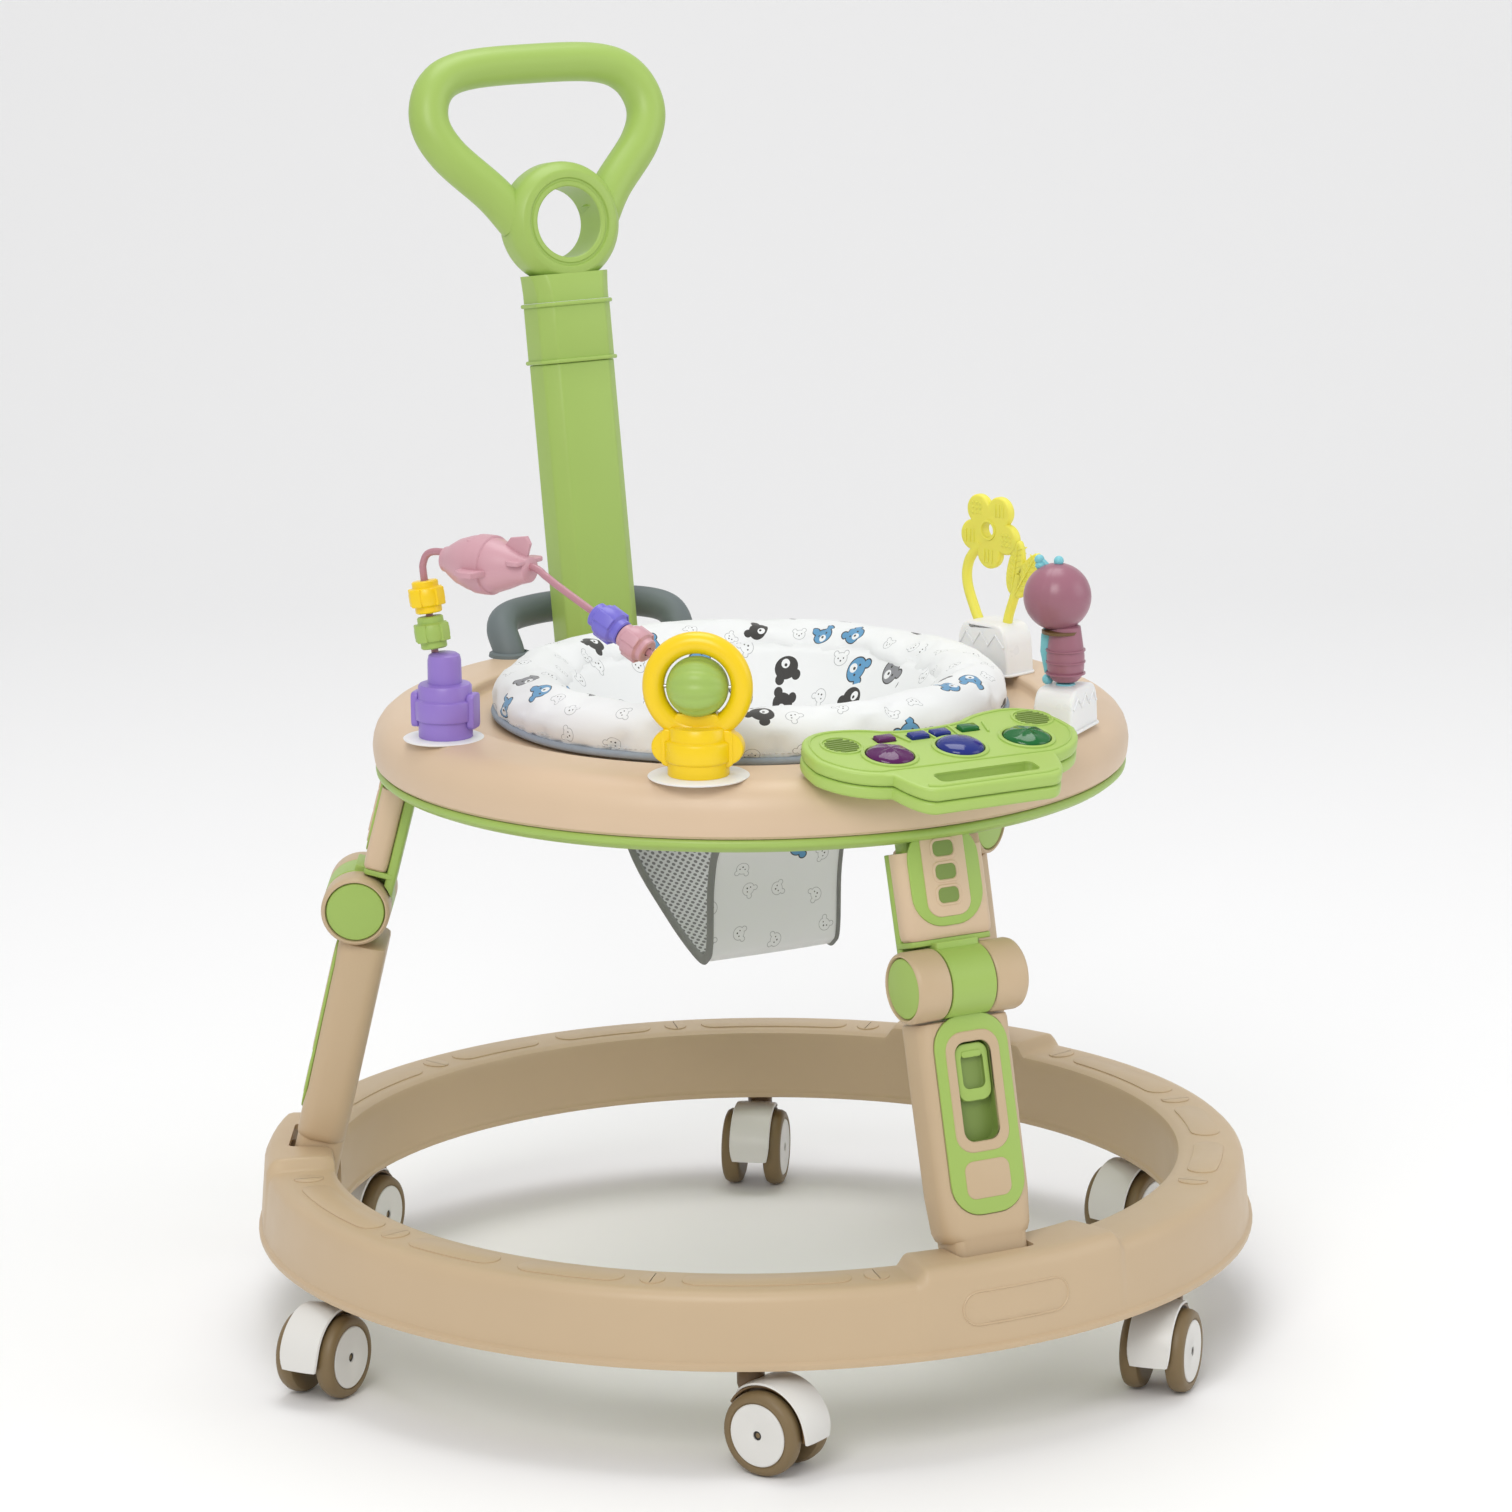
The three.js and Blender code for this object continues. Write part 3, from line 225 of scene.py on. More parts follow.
def printed_fabric(name):
    """White cloth with scattered round-eared heads in grey, dark grey and blue."""
    t = Tree(name)
    flat = t.node("ShaderNodeUVMap", uv_map="UVMap").outputs[0]
    pitch = sizes().print_pitch * MM
    cell = t.node("ShaderNodeTexVoronoi", voronoi_dimensions="2D", feature="F1")
    t.put(flat, cell.inputs["Vector"])
    cell.inputs["Scale"].default_value = 1 / pitch
    cell.inputs["Randomness"].default_value = 0.55
    chance = t.node("ShaderNodeSeparateColor")
    t.put(cell.outputs["Color"], chance.inputs[0])
    kind, spin = chance.outputs[0], chance.outputs[1]
    away = t.vector("SUBTRACT", flat, cell.outputs["Position"])
    turned = t.node("ShaderNodeVectorRotate", rotation_type="Z_AXIS")
    t.put(away, turned.inputs["Vector"])
    t.put(t.math("MULTIPLY", spin, 6.28), turned.inputs["Angle"])
    split = t.node("ShaderNodeSeparateXYZ")
    t.put(turned.outputs[0], split.inputs[0])
    big = t.math("MULTIPLY_ADD", t.math("GREATER_THAN", kind, 0.6), 0.38, 0.56)
    x = t.math("DIVIDE", t.math("ABSOLUTE", split.outputs[0]), big)
    y = t.math("DIVIDE", split.outputs[1], big)

    def disc(cx, cy, radius, squeeze=1.0):
        dx = t.math("SUBTRACT", x, cx)
        dy = t.math("MULTIPLY", t.math("SUBTRACT", y, cy), squeeze)
        far = t.math("SQRT", t.math("ADD", t.math("POWER", dx, 2), t.math("POWER", dy, 2)))
        return t.math("SUBTRACT", far, radius)

    outline = t.math("MINIMUM", disc(0, 0, 0.0086, 1.15), disc(0.0066, 0.0066, 0.0032))
    inside = t.math("LESS_THAN", outline, 0)
    edge = t.math("LESS_THAN", t.math("ABSOLUTE", outline), 0.00045)
    muzzle = t.math("LESS_THAN", disc(0, -0.003, 0.0032), 0)
    dots = t.math("MINIMUM", disc(0.0036, 0.001, 0.0009), disc(0, -0.002, 0.0011))
    face = t.math("LESS_THAN", dots, 0)
    white = (0.80, 0.815, 0.82)
    dark, grey, blue = (0.030, 0.028, 0.026), (0.23, 0.235, 0.25), (0.10, 0.30, 0.52)
    fill = t.mix(t.math("GREATER_THAN", kind, 0.6), white, dark)
    fill = t.mix(t.math("GREATER_THAN", kind, 0.74), fill, grey)
    fill = t.mix(t.math("GREATER_THAN", kind, 0.87), fill, blue)
    fill = t.mix(muzzle, fill, white)
    fill = t.mix(face, fill, dark)
    line = t.mix(t.math("GREATER_THAN", kind, 0.6), (0.42, 0.43, 0.44), dark)
    colour = t.mix(inside, white, fill)
    colour = t.mix(edge, colour, line)
    place = t.node("ShaderNodeTexCoord").outputs["Object"]
    t.set("Base Color", colour)
    t.set("Roughness", t.math("MULTIPLY_ADD", t.noise(place, 30.0), 0.2, 0.6))
    t.set("Sheen Weight", 0.25)
    t.bump(weave(t, flat, 0.0011), 0.25, 0.0002)
    return t.material


def net_fabric(name):
    """Grey-white spacer net: round holes in staggered rows, the holes painted dark as painted
    shade.
    """
    t = Tree(name)
    flat = t.node("ShaderNodeUVMap", uv_map="UVMap").outputs[0]
    cell = t.node("ShaderNodeTexVoronoi", voronoi_dimensions="2D", feature="F1")
    slant = t.node("ShaderNodeMapping")
    t.put(flat, slant.inputs["Vector"])
    slant.inputs["Rotation"].default_value = (0, 0, math.radians(45))
    t.put(slant.outputs[0], cell.inputs["Vector"])
    cell.inputs["Scale"].default_value = 1 / 0.0042
    cell.inputs["Randomness"].default_value = 0.0
    hole = t.math("LESS_THAN", cell.outputs["Distance"], 0.33)
    # The holes are painted darker grey: painted shade inside them.
    t.set("Base Color", t.mix(hole, (0.60, 0.61, 0.60), (0.20, 0.20, 0.195)))
    t.set("Roughness", 0.85)
    t.bump(t.math("SUBTRACT", 1.0, hole), 0.6, 0.0006)
    return t.material


def tape(name, colour):
    """Woven tape or piping."""
    t = Tree(name)
    place = t.node("ShaderNodeTexCoord").outputs["Object"]
    t.set("Base Color", t.mix(t.noise(place, 120.0), shade(colour, 0.88), shade(colour, 1.1)))
    t.set("Roughness", 0.85)
    t.bump(t.noise(place, 1500.0), 0.5, 0.0003)
    return t.material


MATERIALS = {}


def make_materials():
    c = colours()
    beige, sand, lime = tuple(c.beige), tuple(c.sand), tuple(c.lime)
    MATERIALS.update(
        beige=plastic("tray_beige", beige, 0.40),
        sand=plastic("base_sand", sand, 0.42),
        lime=plastic("lime_plastic", lime, 0.40),
        # Lime darkened to 0.55: painted shade for recesses, pockets, grille slots and the gap
        # between the piano's halves.
        lime_dark=plastic("lime_painted_recess_shade", shade(lime, 0.55), 0.5),
        paper=plastic("piano_lime", (0.385, 0.550, 0.125), 0.40),
        tyre=plastic("wheel_brown", tuple(c.tyre), 0.48, 1.0),
        fork=plastic("fork_brown", (0.150, 0.085, 0.030), 0.35),
        silver=plastic("hood_white", (0.72, 0.71, 0.68), 0.34),
        # Near-black: painted shade, standing for the dark inside of a hole.
        hole=plastic("dark_hole", (0.02, 0.018, 0.015), 0.6),
        steel=metal("steel_pin", (0.62, 0.62, 0.60), 0.35),
        print=printed_fabric("seat_print"),
        net=net_fabric("seat_net"),
        piping=tape("seat_piping", (0.30, 0.35, 0.41)),
        binding=tape("seat_binding", (0.24, 0.245, 0.235)),
        thread=tape("seat_thread", (0.66, 0.67, 0.66)),
        rail=plastic("rail_grey", (0.135, 0.165, 0.17), 0.55, 1.2),
        yellow=plastic("toy_yellow", (0.90, 0.62, 0.004), 0.30),
        pale=plastic("toy_pale_yellow", (0.83, 0.77, 0.10), 0.40, 0.5, 0.2),
        purple=plastic("toy_purple", (0.285, 0.185, 0.57), 0.34),
        violet=plastic("toy_violet", (0.175, 0.150, 0.60), 0.32),
        pink=plastic("toy_pink", (0.58, 0.32, 0.37), 0.36),
        wire=plastic("wire_pink", (0.46, 0.22, 0.26), 0.30),
        mauve=plastic("toy_mauve", (0.33, 0.135, 0.185), 0.32),
        teal=plastic("toy_teal", (0.20, 0.56, 0.64), 0.34),
        white=plastic("toy_white", (0.83, 0.83, 0.82), 0.30, 0.4, 0.15),
        gem_purple=plastic("button_purple", (0.085, 0.002, 0.085), 0.12, 0.1),
        gem_blue=plastic("button_blue", (0.006, 0.018, 0.20), 0.12, 0.1),
        gem_green=plastic("button_green", (0.002, 0.125, 0.022), 0.12, 0.1),
    )


# ------------------------------------------------------------------ shapes, in millimetres
def at(x=0.0, y=0.0, z=0.0, rx=0.0, ry=0.0, rz=0.0):
    """A place: turned about x, then y, then z, then moved."""
    turn = (
        Matrix.Rotation(math.radians(rz), 4, "Z")
        @ Matrix.Rotation(math.radians(ry), 4, "Y")
        @ Matrix.Rotation(math.radians(rx), 4, "X")
    )
    return Matrix.Translation((x, y, z)) @ turn


def arc(cx, cy, radius, start, end, steps):
    return [
        (
            cx + radius * math.cos(math.radians(start + (end - start) * i / steps)),
            cy + radius * math.sin(math.radians(start + (end - start) * i / steps)),
        )
        for i in range(steps + 1)
    ]


def polar(radius, turn):
    return radius * math.cos(math.radians(turn)), radius * math.sin(math.radians(turn))


def rounded(width, height, corner, steps=6, cx=0.0, cy=0.0):
    """Outline of a rectangle with round corners, anticlockwise."""
    w, h, r = width / 2 - corner, height / 2 - corner, corner
    made = []
    for x, y, start in ((w, h, 0), (-w, h, 90), (-w, -h, 180), (w, -h, 270)):
        made += arc(cx + x, cy + y, r, start, start + 90, steps)
    return made


def inset(outline, amount):
    """The outline moved inwards by amount, vertex by vertex."""
    points = np.array(outline, float)
    before, after = np.roll(points, 1, 0), np.roll(points, -1, 0)
    a, b = points - before, after - points
    a /= np.maximum(np.linalg.norm(a, axis=1, keepdims=True), 1e-9)
    b /= np.maximum(np.linalg.norm(b, axis=1, keepdims=True), 1e-9)
    normal = np.stack([-(a + b)[:, 1], (a + b)[:, 0]], 1)
    size = np.maximum(np.linalg.norm(normal, axis=1, keepdims=True), 1e-9)
    spread = np.maximum(size / 2, 0.5)
    return points + normal / size * (amount / spread)


def smooth_path(points, steps):
    """A smooth line through the points."""
    p = [Vector(q) for q in points]
    p = [p[0] * 2 - p[1], *p, p[-1] * 2 - p[-2]]
    made = []
    for i in range(1, len(p) - 2):
        for k in range(steps):
            u = k / steps
            a, b, c, d = p[i - 1], p[i], p[i + 1], p[i + 2]
            made.append(
                0.5
                * (
                    2 * b
                    + (c - a) * u
                    + (2 * a - 5 * b + 4 * c - d) * u**2
                    + (3 * b - a - 3 * c + d) * u**3
                )
            )
    made.append(p[-2])
    return made


class Part:
    """A piece being built. Shapes go in in millimetres, each with the material it shows."""

    def __init__(self):
        self.bm = bmesh.new()
        self.uv = self.bm.loops.layers.uv.new("UVMap")

    def add(self, points, faces, place=None, look="beige", uv=None):
        place = place or Matrix.Identity(4)
        verts = [self.bm.verts.new((place @ Vector(p)) * MM) for p in points]
        index = list(MATERIALS).index(look)
        for face in faces:
            if len(set(face)) < 3:
                continue
            corners = [verts[i] for i in dict.fromkeys(face)]
            try:
                made = self.bm.faces.new(corners)
            except ValueError:
                continue
            made.material_index = index
            made.smooth = True
            if uv:
                for loop, i in zip(made.loops, dict.fromkeys(face)):
                    loop[self.uv].uv = uv[i]
        return self

    def loft(self, rings, place=None, look="beige", caps=True):
        """Closed rings of equally many points, joined in turn."""
        n = len(rings[0])
        points = [tuple(p) for ring in rings for p in ring]
        faces = []
        for k in range(len(rings) - 1):
            for i in range(n):
                j = (i + 1) % n
                faces.append((k * n + i, k * n + j, (k + 1) * n + j, (k + 1) * n + i))
        if caps:
            last = (len(rings) - 1) * n
            faces.append(tuple(reversed(range(n))))
            faces.append(tuple(range(last, last + n)))
        return self.add(points, faces, place, look)

    def slab(self, outline, low, high, place=None, look="beige", bevel=1.0, steps=3):
        """An outline in x and y, raised from low to high along z, its edges rounded."""
        rings = []
        for k in range(steps + 1):
            t = math.pi / 2 * k / steps
            ring = inset(outline, bevel * (1 - math.sin(t)))
            rings.append([(x, y, low + bevel * (1 - math.cos(t))) for x, y in ring])
        for k in range(steps + 1):
            t = math.pi / 2 * k / steps
            ring = inset(outline, bevel * (1 - math.cos(t)))
            rings.append([(x, y, high - bevel * (1 - math.sin(t))) for x, y in ring])
        return self.loft(rings, place, look)

    def frame(self, outer, inner, low, high, place=None, look="beige", bevel=0.6):
        """A flat band between two outlines that have equally many points."""
        n = len(outer)
        loop = [
            (outer, low),
            (outer, high - bevel),
            (inset(outer, bevel), high),
            (inset(inner, -bevel), high),
            (inner, high - bevel),
            (inner, low),
        ]
        points = [(x, y, z) for line, z in loop for x, y in line]
        faces = []
        for k in range(len(loop)):
            m = (k + 1) % len(loop)
            for i in range(n):
                j = (i + 1) % n
                faces.append((k * n + i, k * n + j, m * n + j, m * n + i))
        return self.add(points, faces, place, look)

    def turned(self, profile, segments=48, place=None, look="beige"):
        """A solid of revolution about z. The profile closes on itself or on the axis."""
        points, rows = [], []
        for r, z in profile:
            if r < 1e-6:
                rows.append([len(points)] * segments)
                points.append((0, 0, z))
                continue
            rows.append(list(range(len(points), len(points) + segments)))
            for i in range(segments):
                a = 2 * math.pi * i / segments
                points.append((r * math.cos(a), r * math.sin(a), z))
        faces = []
        on_axis = profile[0][0] < 1e-6 and profile[-1][0] < 1e-6
        for k in range(len(rows) - (1 if on_axis else 0)):
            a, b = rows[k], rows[(k + 1) % len(rows)]
            for i in range(segments):
                j = (i + 1) % segments
                faces.append((a[i], a[j], b[j], b[i]))
        return self.add(points, faces, place, look)

    def tube(self, path, radius, sides=12, place=None, look="beige", flat=1.0, up=None):
        """A tube along a path; radius may be a list, one for each point."""
        path = [Vector(p) for p in path]
        side = None
        rings = []
        for i, p in enumerate(path):
            along = path[min(i + 1, len(path) - 1)] - path[max(i - 1, 0)]
            along.normalize()
            if up is not None:
                side = Vector(up).cross(along).normalized()
            elif side is None:
                side = along.orthogonal().normalized()
            else:
                side = (side - along * side.dot(along)).normalized()
            other = along.cross(side)
            r = radius[i] if isinstance(radius, (list, tuple)) else radius
            rings.append(
                [
                    p
                    + side * (r * math.cos(2 * math.pi * k / sides))
                    + other * (r * flat * math.sin(2 * math.pi * k / sides))
                    for k in range(sides)
                ]
            )
        return self.loft(rings, place, look)

    def loop_tube(self, path, radius, sides=10, place=None, look="beige"):
        """A tube round a closed path that lies about level."""
        path = [Vector(p) for p in path]
        n = len(path)
        points, faces = [], []
        for i, p in enumerate(path):
            along = (path[(i + 1) % n] - path[i - 1]).normalized()
            side = along.cross(Vector((0, 0, 1))).normalized()
            other = side.cross(along)
            for k in range(sides):
                a = 2 * math.pi * k / sides
                points.append(p + (side * math.cos(a) + other * math.sin(a)) * radius)
        for i in range(n):
            for k in range(sides):
                a, b = i * sides, ((i + 1) % n) * sides
                m = (k + 1) % sides
                faces.append((a + k, a + m, b + m, b + k))
        return self.add([tuple(p) for p in points], faces, place, look)

    def ball(self, radius, place=None, look="beige", stretch=(1, 1, 1), rows=16, segments=28):
        profile = []
        for k in range(rows + 1):
            t = math.pi * k / rows
            profile.append((radius * math.sin(t) if 0 < k < rows else 0.0, -radius * math.cos(t)))
        scale = Matrix.Diagonal((*stretch, 1))
        return self.turned(profile, segments, (place or Matrix.Identity(4)) @ scale, look)

    def box(self, x, y, z, place=None, look="beige", bevel=1.0, corner=None):
        corner = corner or min(x, y) * 0.2
        return self.slab(rounded(x, y, corner, 4), -z / 2, z / 2, place, look, bevel)

    def _object(self):
        bmesh.ops.recalc_face_normals(self.bm, faces=self.bm.faces)
        mesh = bpy.data.meshes.new("made")
        for material in MATERIALS.values():
            mesh.materials.append(material)
        self.bm.to_mesh(mesh)
        made = bpy.data.objects.new("made", mesh)
        bpy.context.scene.collection.objects.link(made)
        return made

    def carve(self, *tools):
        """Cuts the tools' shapes out of the piece."""
        whole = self._object()
        cutters = [tool._object() for tool in tools]
        for cutter in cutters:
            step = whole.modifiers.new("carve", "BOOLEAN")
            step.operation, step.object, step.solver = "DIFFERENCE", cutter, "EXACT"
            step.use_self = True
        bpy.context.view_layer.update()
        got = whole.evaluated_get(bpy.context.evaluated_depsgraph_get())
        self.bm.free()
        self.bm = bmesh.new()
        self.bm.from_mesh(got.to_mesh())
        bmesh.ops.remove_doubles(self.bm, verts=self.bm.verts, dist=3e-6)
        bmesh.ops.dissolve_degenerate(self.bm, edges=self.bm.edges, dist=1e-6)
        self.uv = self.bm.loops.layers.uv.verify()
        for spare in (whole, *cutters):
            bpy.data.objects.remove(spare)
        return self

    def finish(self, name, body, place=None, stands_for=(), slot=None, sharp=38):
        """The finished piece, riding on a body of the frame."""
        bmesh.ops.recalc_face_normals(self.bm, faces=self.bm.faces)
        used = sorted({f.material_index for f in self.bm.faces})
        for f in self.bm.faces:
            f.material_index = used.index(f.material_index)
            f.smooth = True
        mesh = bpy.data.meshes.new(name)
        looks = list(MATERIALS.values())
        for index in used:
            mesh.materials.append(looks[index])
        self.bm.to_mesh(mesh)
        if place is not None:
            scaled = place.copy()
            scaled.translation = place.translation * MM
            mesh.transform(scaled)
        mesh.set_sharp_from_angle(angle=math.radians(sharp))
        made = bpy.data.objects.new(name, mesh)
        bpy.context.scene.collection.objects.link(made)
        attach(made, body)
        if stands_for:
            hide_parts(*stands_for)
        return made

    def copy(self):
        other = Part.__new__(Part)
        other.bm = self.bm.copy()
        other.uv = other.bm.loops.layers.uv.verify()
        return other


# ------------------------------------------------------------------ rows along a path
def row_tree(name):
    """A node tree that lays short rounded bars along a line, each turned to follow it."""
    tree = bpy.data.node_groups.new(name, "GeometryNodeTree")
    face = tree.interface
    face.new_socket("Line", in_out="INPUT", socket_type="NodeSocketGeometry")
    for label, value in (("Pitch", 0.004), ("Width", 0.0006), ("Length", 0.0026)):
        made = face.new_socket(label, in_out="INPUT", socket_type="NodeSocketFloat")
        made.default_value = value
    face.new_socket("Look", in_out="INPUT", socket_type="NodeSocketMaterial")
    face.new_socket("Bars", in_out="OUTPUT", socket_type="NodeSocketGeometry")
    add, link = tree.nodes.new, tree.links.new
    given, result = add("NodeGroupInput"), add("NodeGroupOutput")
    curve = add("GeometryNodeMeshToCurve")
    spaced = add("GeometryNodeResampleCurve")
    spaced.mode = "LENGTH"
    points = add("GeometryNodeCurveToPoints")
    points.mode = "EVALUATED"
    bar = add("GeometryNodeMeshUVSphere")
    bar.inputs["Segments"].default_value = 8
    bar.inputs["Rings"].default_value = 5
    bar.inputs["Radius"].default_value = 0.5
    scale = add("ShaderNodeCombineXYZ")
    copies = add("GeometryNodeInstanceOnPoints")
    solid = add("GeometryNodeRealizeInstances")
    look = add("GeometryNodeSetMaterial")
    smooth = add("GeometryNodeSetShadeSmooth")
    link(given.outputs["Line"], curve.inputs["Mesh"])
    link(curve.outputs["Curve"], spaced.inputs["Curve"])
    link(given.outputs["Pitch"], spaced.inputs["Length"])
    link(spaced.outputs["Curve"], points.inputs["Curve"])
    link(points.outputs["Points"], copies.inputs["Points"])
    link(points.outputs["Rotation"], copies.inputs["Rotation"])
    link(bar.outputs["Mesh"], copies.inputs["Instance"])
    link(given.outputs["Width"], scale.inputs[0])
    link(given.outputs["Width"], scale.inputs[1])
    link(given.outputs["Length"], scale.inputs[2])
    link(scale.outputs[0], copies.inputs["Scale"])
    link(copies.outputs["Instances"], solid.inputs["Geometry"])
    link(solid.outputs["Geometry"], smooth.inputs["Geometry"])
    link(smooth.outputs["Geometry"], look.inputs["Geometry"])
    link(given.outputs["Look"], look.inputs["Material"])
    link(look.outputs["Geometry"], result.inputs["Bars"])
    return tree


def row(name, lines, body, look="thread", closed=False):
    """Stitches along each of the lines, whose points are in the frame's own place."""
    tree = bpy.data.node_groups.get("walker_row") or row_tree("walker_row")
    mesh = bpy.data.meshes.new(name)
    points, edges = [], []
    for line in lines:
        start = len(points)
        points += [Vector(p) * MM for p in line]
        edges += [(i, i + 1) for i in range(start, len(points) - 1)]
        if closed:
            edges.append((len(points) - 1, start))
    mesh.from_pydata(points, edges, [])
    made = bpy.data.objects.new(name, mesh)
    bpy.context.scene.collection.objects.link(made)
    step = made.modifiers.new("row", "NODES")
    step.node_group = tree
    keys = {s.name: s.identifier for s in tree.interface.items_tree if s.in_out == "INPUT"}
    pitch = sizes().stitch_pitch
    step[keys["Pitch"]] = pitch * MM
    step[keys["Width"]] = sizes().stitch_width * 1.7 * MM
    step[keys["Length"]] = pitch * 0.62 * MM
    step[keys["Look"]] = MATERIALS[look]
    bpy.context.view_layer.update()
    got = made.evaluated_get(bpy.context.evaluated_depsgraph_get())
    baked = bpy.data.meshes.new_from_object(got)
    made.modifiers.clear()
    made.data = baked
    if not baked.materials:
        baked.materials.append(MATERIALS[look])
    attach(made, body)
    return made


# ------------------------------------------------------------------ base ring
RING_PROFILE = [
    (350.0, 70.0), (350.4, 71.5), (350.2, 73.6), (349.2, 74.6), (347.9, 75.4), (347.4, 77.0),
    (346.9, 84.0), (346.0, 95.0), (344.9, 106.0), (343.9, 114.0), (342.4, 117.6),
    (339.6, 120.2), (336.0, 121.3), (330.0, 121.6), (316.0, 121.7), (305.0, 121.5),
    (301.0, 121.0), (298.2, 119.6), (297.1, 117.0), (296.9, 110.0), (296.8, 90.0),
    (296.6, 76.5), (296.0, 74.6), (295.0, 73.6), (294.8, 71.0), (295.4, 70.0), (299.5, 70.0),
    (299.6, 118.0), (341.0, 118.0), (345.0, 70.0),
]


def far_reach(name):
    """The ring is raised further along one side of the front foot."""
    return FRONT_REACH if name == "front" else SOCKET_REACH


def raised(turn):
    """How far the ring's top is lifted at an angle, from 0 to 1: it rises at each foot."""
    most = 0.0
    for name, middle in LEGS.items():
        off = (turn - middle + 180) % 360 - 180
        edge = far_reach(name) - off if off > 0 else SOCKET_REACH + off
        share = max(0.0, min(1.0, edge / STEP_WIDTH))
        most = max(most, share * share * (3 - 2 * share))
    return most


def ring_angles():
    """Angles round the ring, close together where its top steps up."""
    made = {round(3.0 * i, 3) for i in range(120)}
    for name, middle in LEGS.items():
        for reach in (-SOCKET_REACH, far_reach(name)):
            for k in range(9):
                edge = middle + reach - math.copysign(STEP_WIDTH * k / 8, reach)
                made.add(round(edge % 360, 3))
    return sorted(made)


def make_ring():
    shoulder, slope, lift, bulge = 104, 13, 7.8, 1.2
    throat = 56.8  # the width left free for a foot
    part = Part()
    rings = []
    for turn in ring_angles():
        share, t = raised(turn), math.radians(turn)
        ring = []
        for r, z in RING_PROFILE:
            high = max(0.0, min(1.0, (z - shoulder) / slope))
            out = r + (bulge * share if r > 343 and z > 80 else 0.0)
            ring.append((out * math.cos(t), out * math.sin(t), z + lift * share * high))
        rings.append(ring)
    part.loft([*rings, rings[0]], None, "sand", caps=False)
    bmesh.ops.remove_doubles(part.bm, verts=part.bm.verts, dist=1e-7)
    pockets, gates = Part(), Part()
    for turn in LEGS.values():
        foot = at(rz=turn)
        pockets.slab(rounded(38, throat, 4, 4), 60, 140, foot @ at(308, 0, 0), "sand", 0.1)
        gates.box(26, throat, 74, foot @ at(294, 0, 97), "sand", 0.1, 1)
    part.carve(pockets, gates)
    for turn in LEGS.values():
        for side in (-1, 1):
            part.box(34, 3.0, 38, at(rz=turn) @ at(318, side * 30.0, 98), "sand", 0.5, 1.2)
        for start, end in ((13.5, 16.5), (18, 38), (40, 43), (45, 58.5)):
            for way in (1, -1):
                if turn == LEGS["front"] and way == 1 and start < 19:
                    continue  # these two would lie on the raised part
                ring_pad(part, *sorted((turn + way * start, turn + way * end)))
    ring_badge(part)
    part.finish("ring", "base", at(RING_X), ["base_ring"], "base_sand", 34)


def ring_pad(part, start, end, low=308.5, high=329.5, lift=0.8):
    """A shallow raised pad on the ring's top, its ends round."""
    middle, half = (low + high) / 2, (high - low) / 2
    cap = min(math.degrees(half / middle), (end - start) / 2)
    edge = []
    for k in range(9):
        t = math.pi / 2 + math.pi * k / 8
        edge.append((middle + half * math.sin(t), start + cap + cap * math.cos(t)))
    for k in range(1, 16):
        edge.append((low, start + cap + (end - start - 2 * cap) * k / 16))
    for k in range(9):
        t = -math.pi / 2 + math.pi * k / 8
        edge.append((middle + half * math.sin(t), end - cap + cap * math.cos(t)))
    for k in range(1, 16):
        edge.append((high, end - cap - (end - start - 2 * cap) * k / 16))
    flat = [(r * math.cos(math.radians(a)), r * math.sin(math.radians(a))) for r, a in edge]
    area = sum(p[0] * q[1] - q[0] * p[1] for p, q in zip(flat, flat[1:] + flat[:1]))
    flat = flat if area > 0 else flat[::-1]
    part.slab(flat, 120.6, 121.7 + lift, None, "sand", 0.5, 2)


def ring_badge(part):
    """The blank oval badge panel, bent round the ring's outer slope below the front foot."""
    half, end = 29.5, 11.8  # half the straight part, and the round ends' radius
    lean = 0.094  # how far the ring's side leans in over its height
    cap = [(x + half, y) for x, y in arc(0, 0, end, -90, 90, 12)]
    top = [(half - 2 * half * k / 20, end) for k in range(1, 20)]
    outline = cap + top + [(-x, -y) for x, y in cap] + [(-x, -y) for x, y in top]
    flat = Part()
    flat.frame(outline, inset(outline, 1.5), -1.0, 0.9, None, "sand", 0.6)
    flat.slab(inset(outline, 1.3), -1.0, 0.3, None, "sand", 0.2, 2)
    flat.bm.verts.index_update()
    points = []
    for vert in flat.bm.verts:
        x, y, z = vert.co / MM
        t = math.radians(-89.6) + x / 346
        r = 346.6 - lean * y + z
        points.append((r * math.cos(t), r * math.sin(t), 100 + y + lean * z))
    faces = [tuple(v.index for v in face.verts) for face in flat.bm.faces]
    part.add(points, faces, None, "sand")


# ------------------------------------------------------------------ casters
TYRE_PROFILE = [
    (0, 9.6), (20, 9.6), (24.2, 9.2), (26.8, 10.2), (28.1, 12.4), (28.5, 15.7),
    (28.1, 19.0), (26.8, 21.4), (24.4, 22.5), (22.4, 22.4), (21.6, 21.4), (0, 21.2),
]
DISC_PROFILE = [
    (3.2, 20.4), (21.0, 20.4), (21.2, 21.9), (20.6, 22.4), (18.6, 22.1), (4.2, 22.6), (3.2, 22.2),
]
# A thin disc at the hub's centre, near-black as painted shade in the hole.
EYE_PROFILE = [(0, 20.6), (3.3, 20.6), (3.3, 21.3), (1.9, 21.6), (1.7, 21.0), (0, 21.0)]


def on_axle(side=1):
    """The wheels' axle, with z pointing to one side."""
    return at(TRAIL, 0, AXLE, rx=90 * side)


def hood_rings():
    """Sections of the hood over the wheels, wide in the middle and round at its ends."""
    rings = []
    for k in range(25):
        a = math.radians(-6 + 158 * k / 24)
        t = abs(k / 24 - 0.42) / 0.58
        half = 15.2 * math.sqrt(max(0.03, 1 - max(0, t - 0.45) ** 2 / 0.305))
        section = (
            (32.1, -half), (33.4, -half + 0.7), (34.0, -half * 0.5), (34.1, 0),
            (34.0, half * 0.5), (33.4, half - 0.7), (32.1, half),
        )
        rings.append([(r * math.cos(a), r * math.sin(a), w) for r, w in section])
    return rings


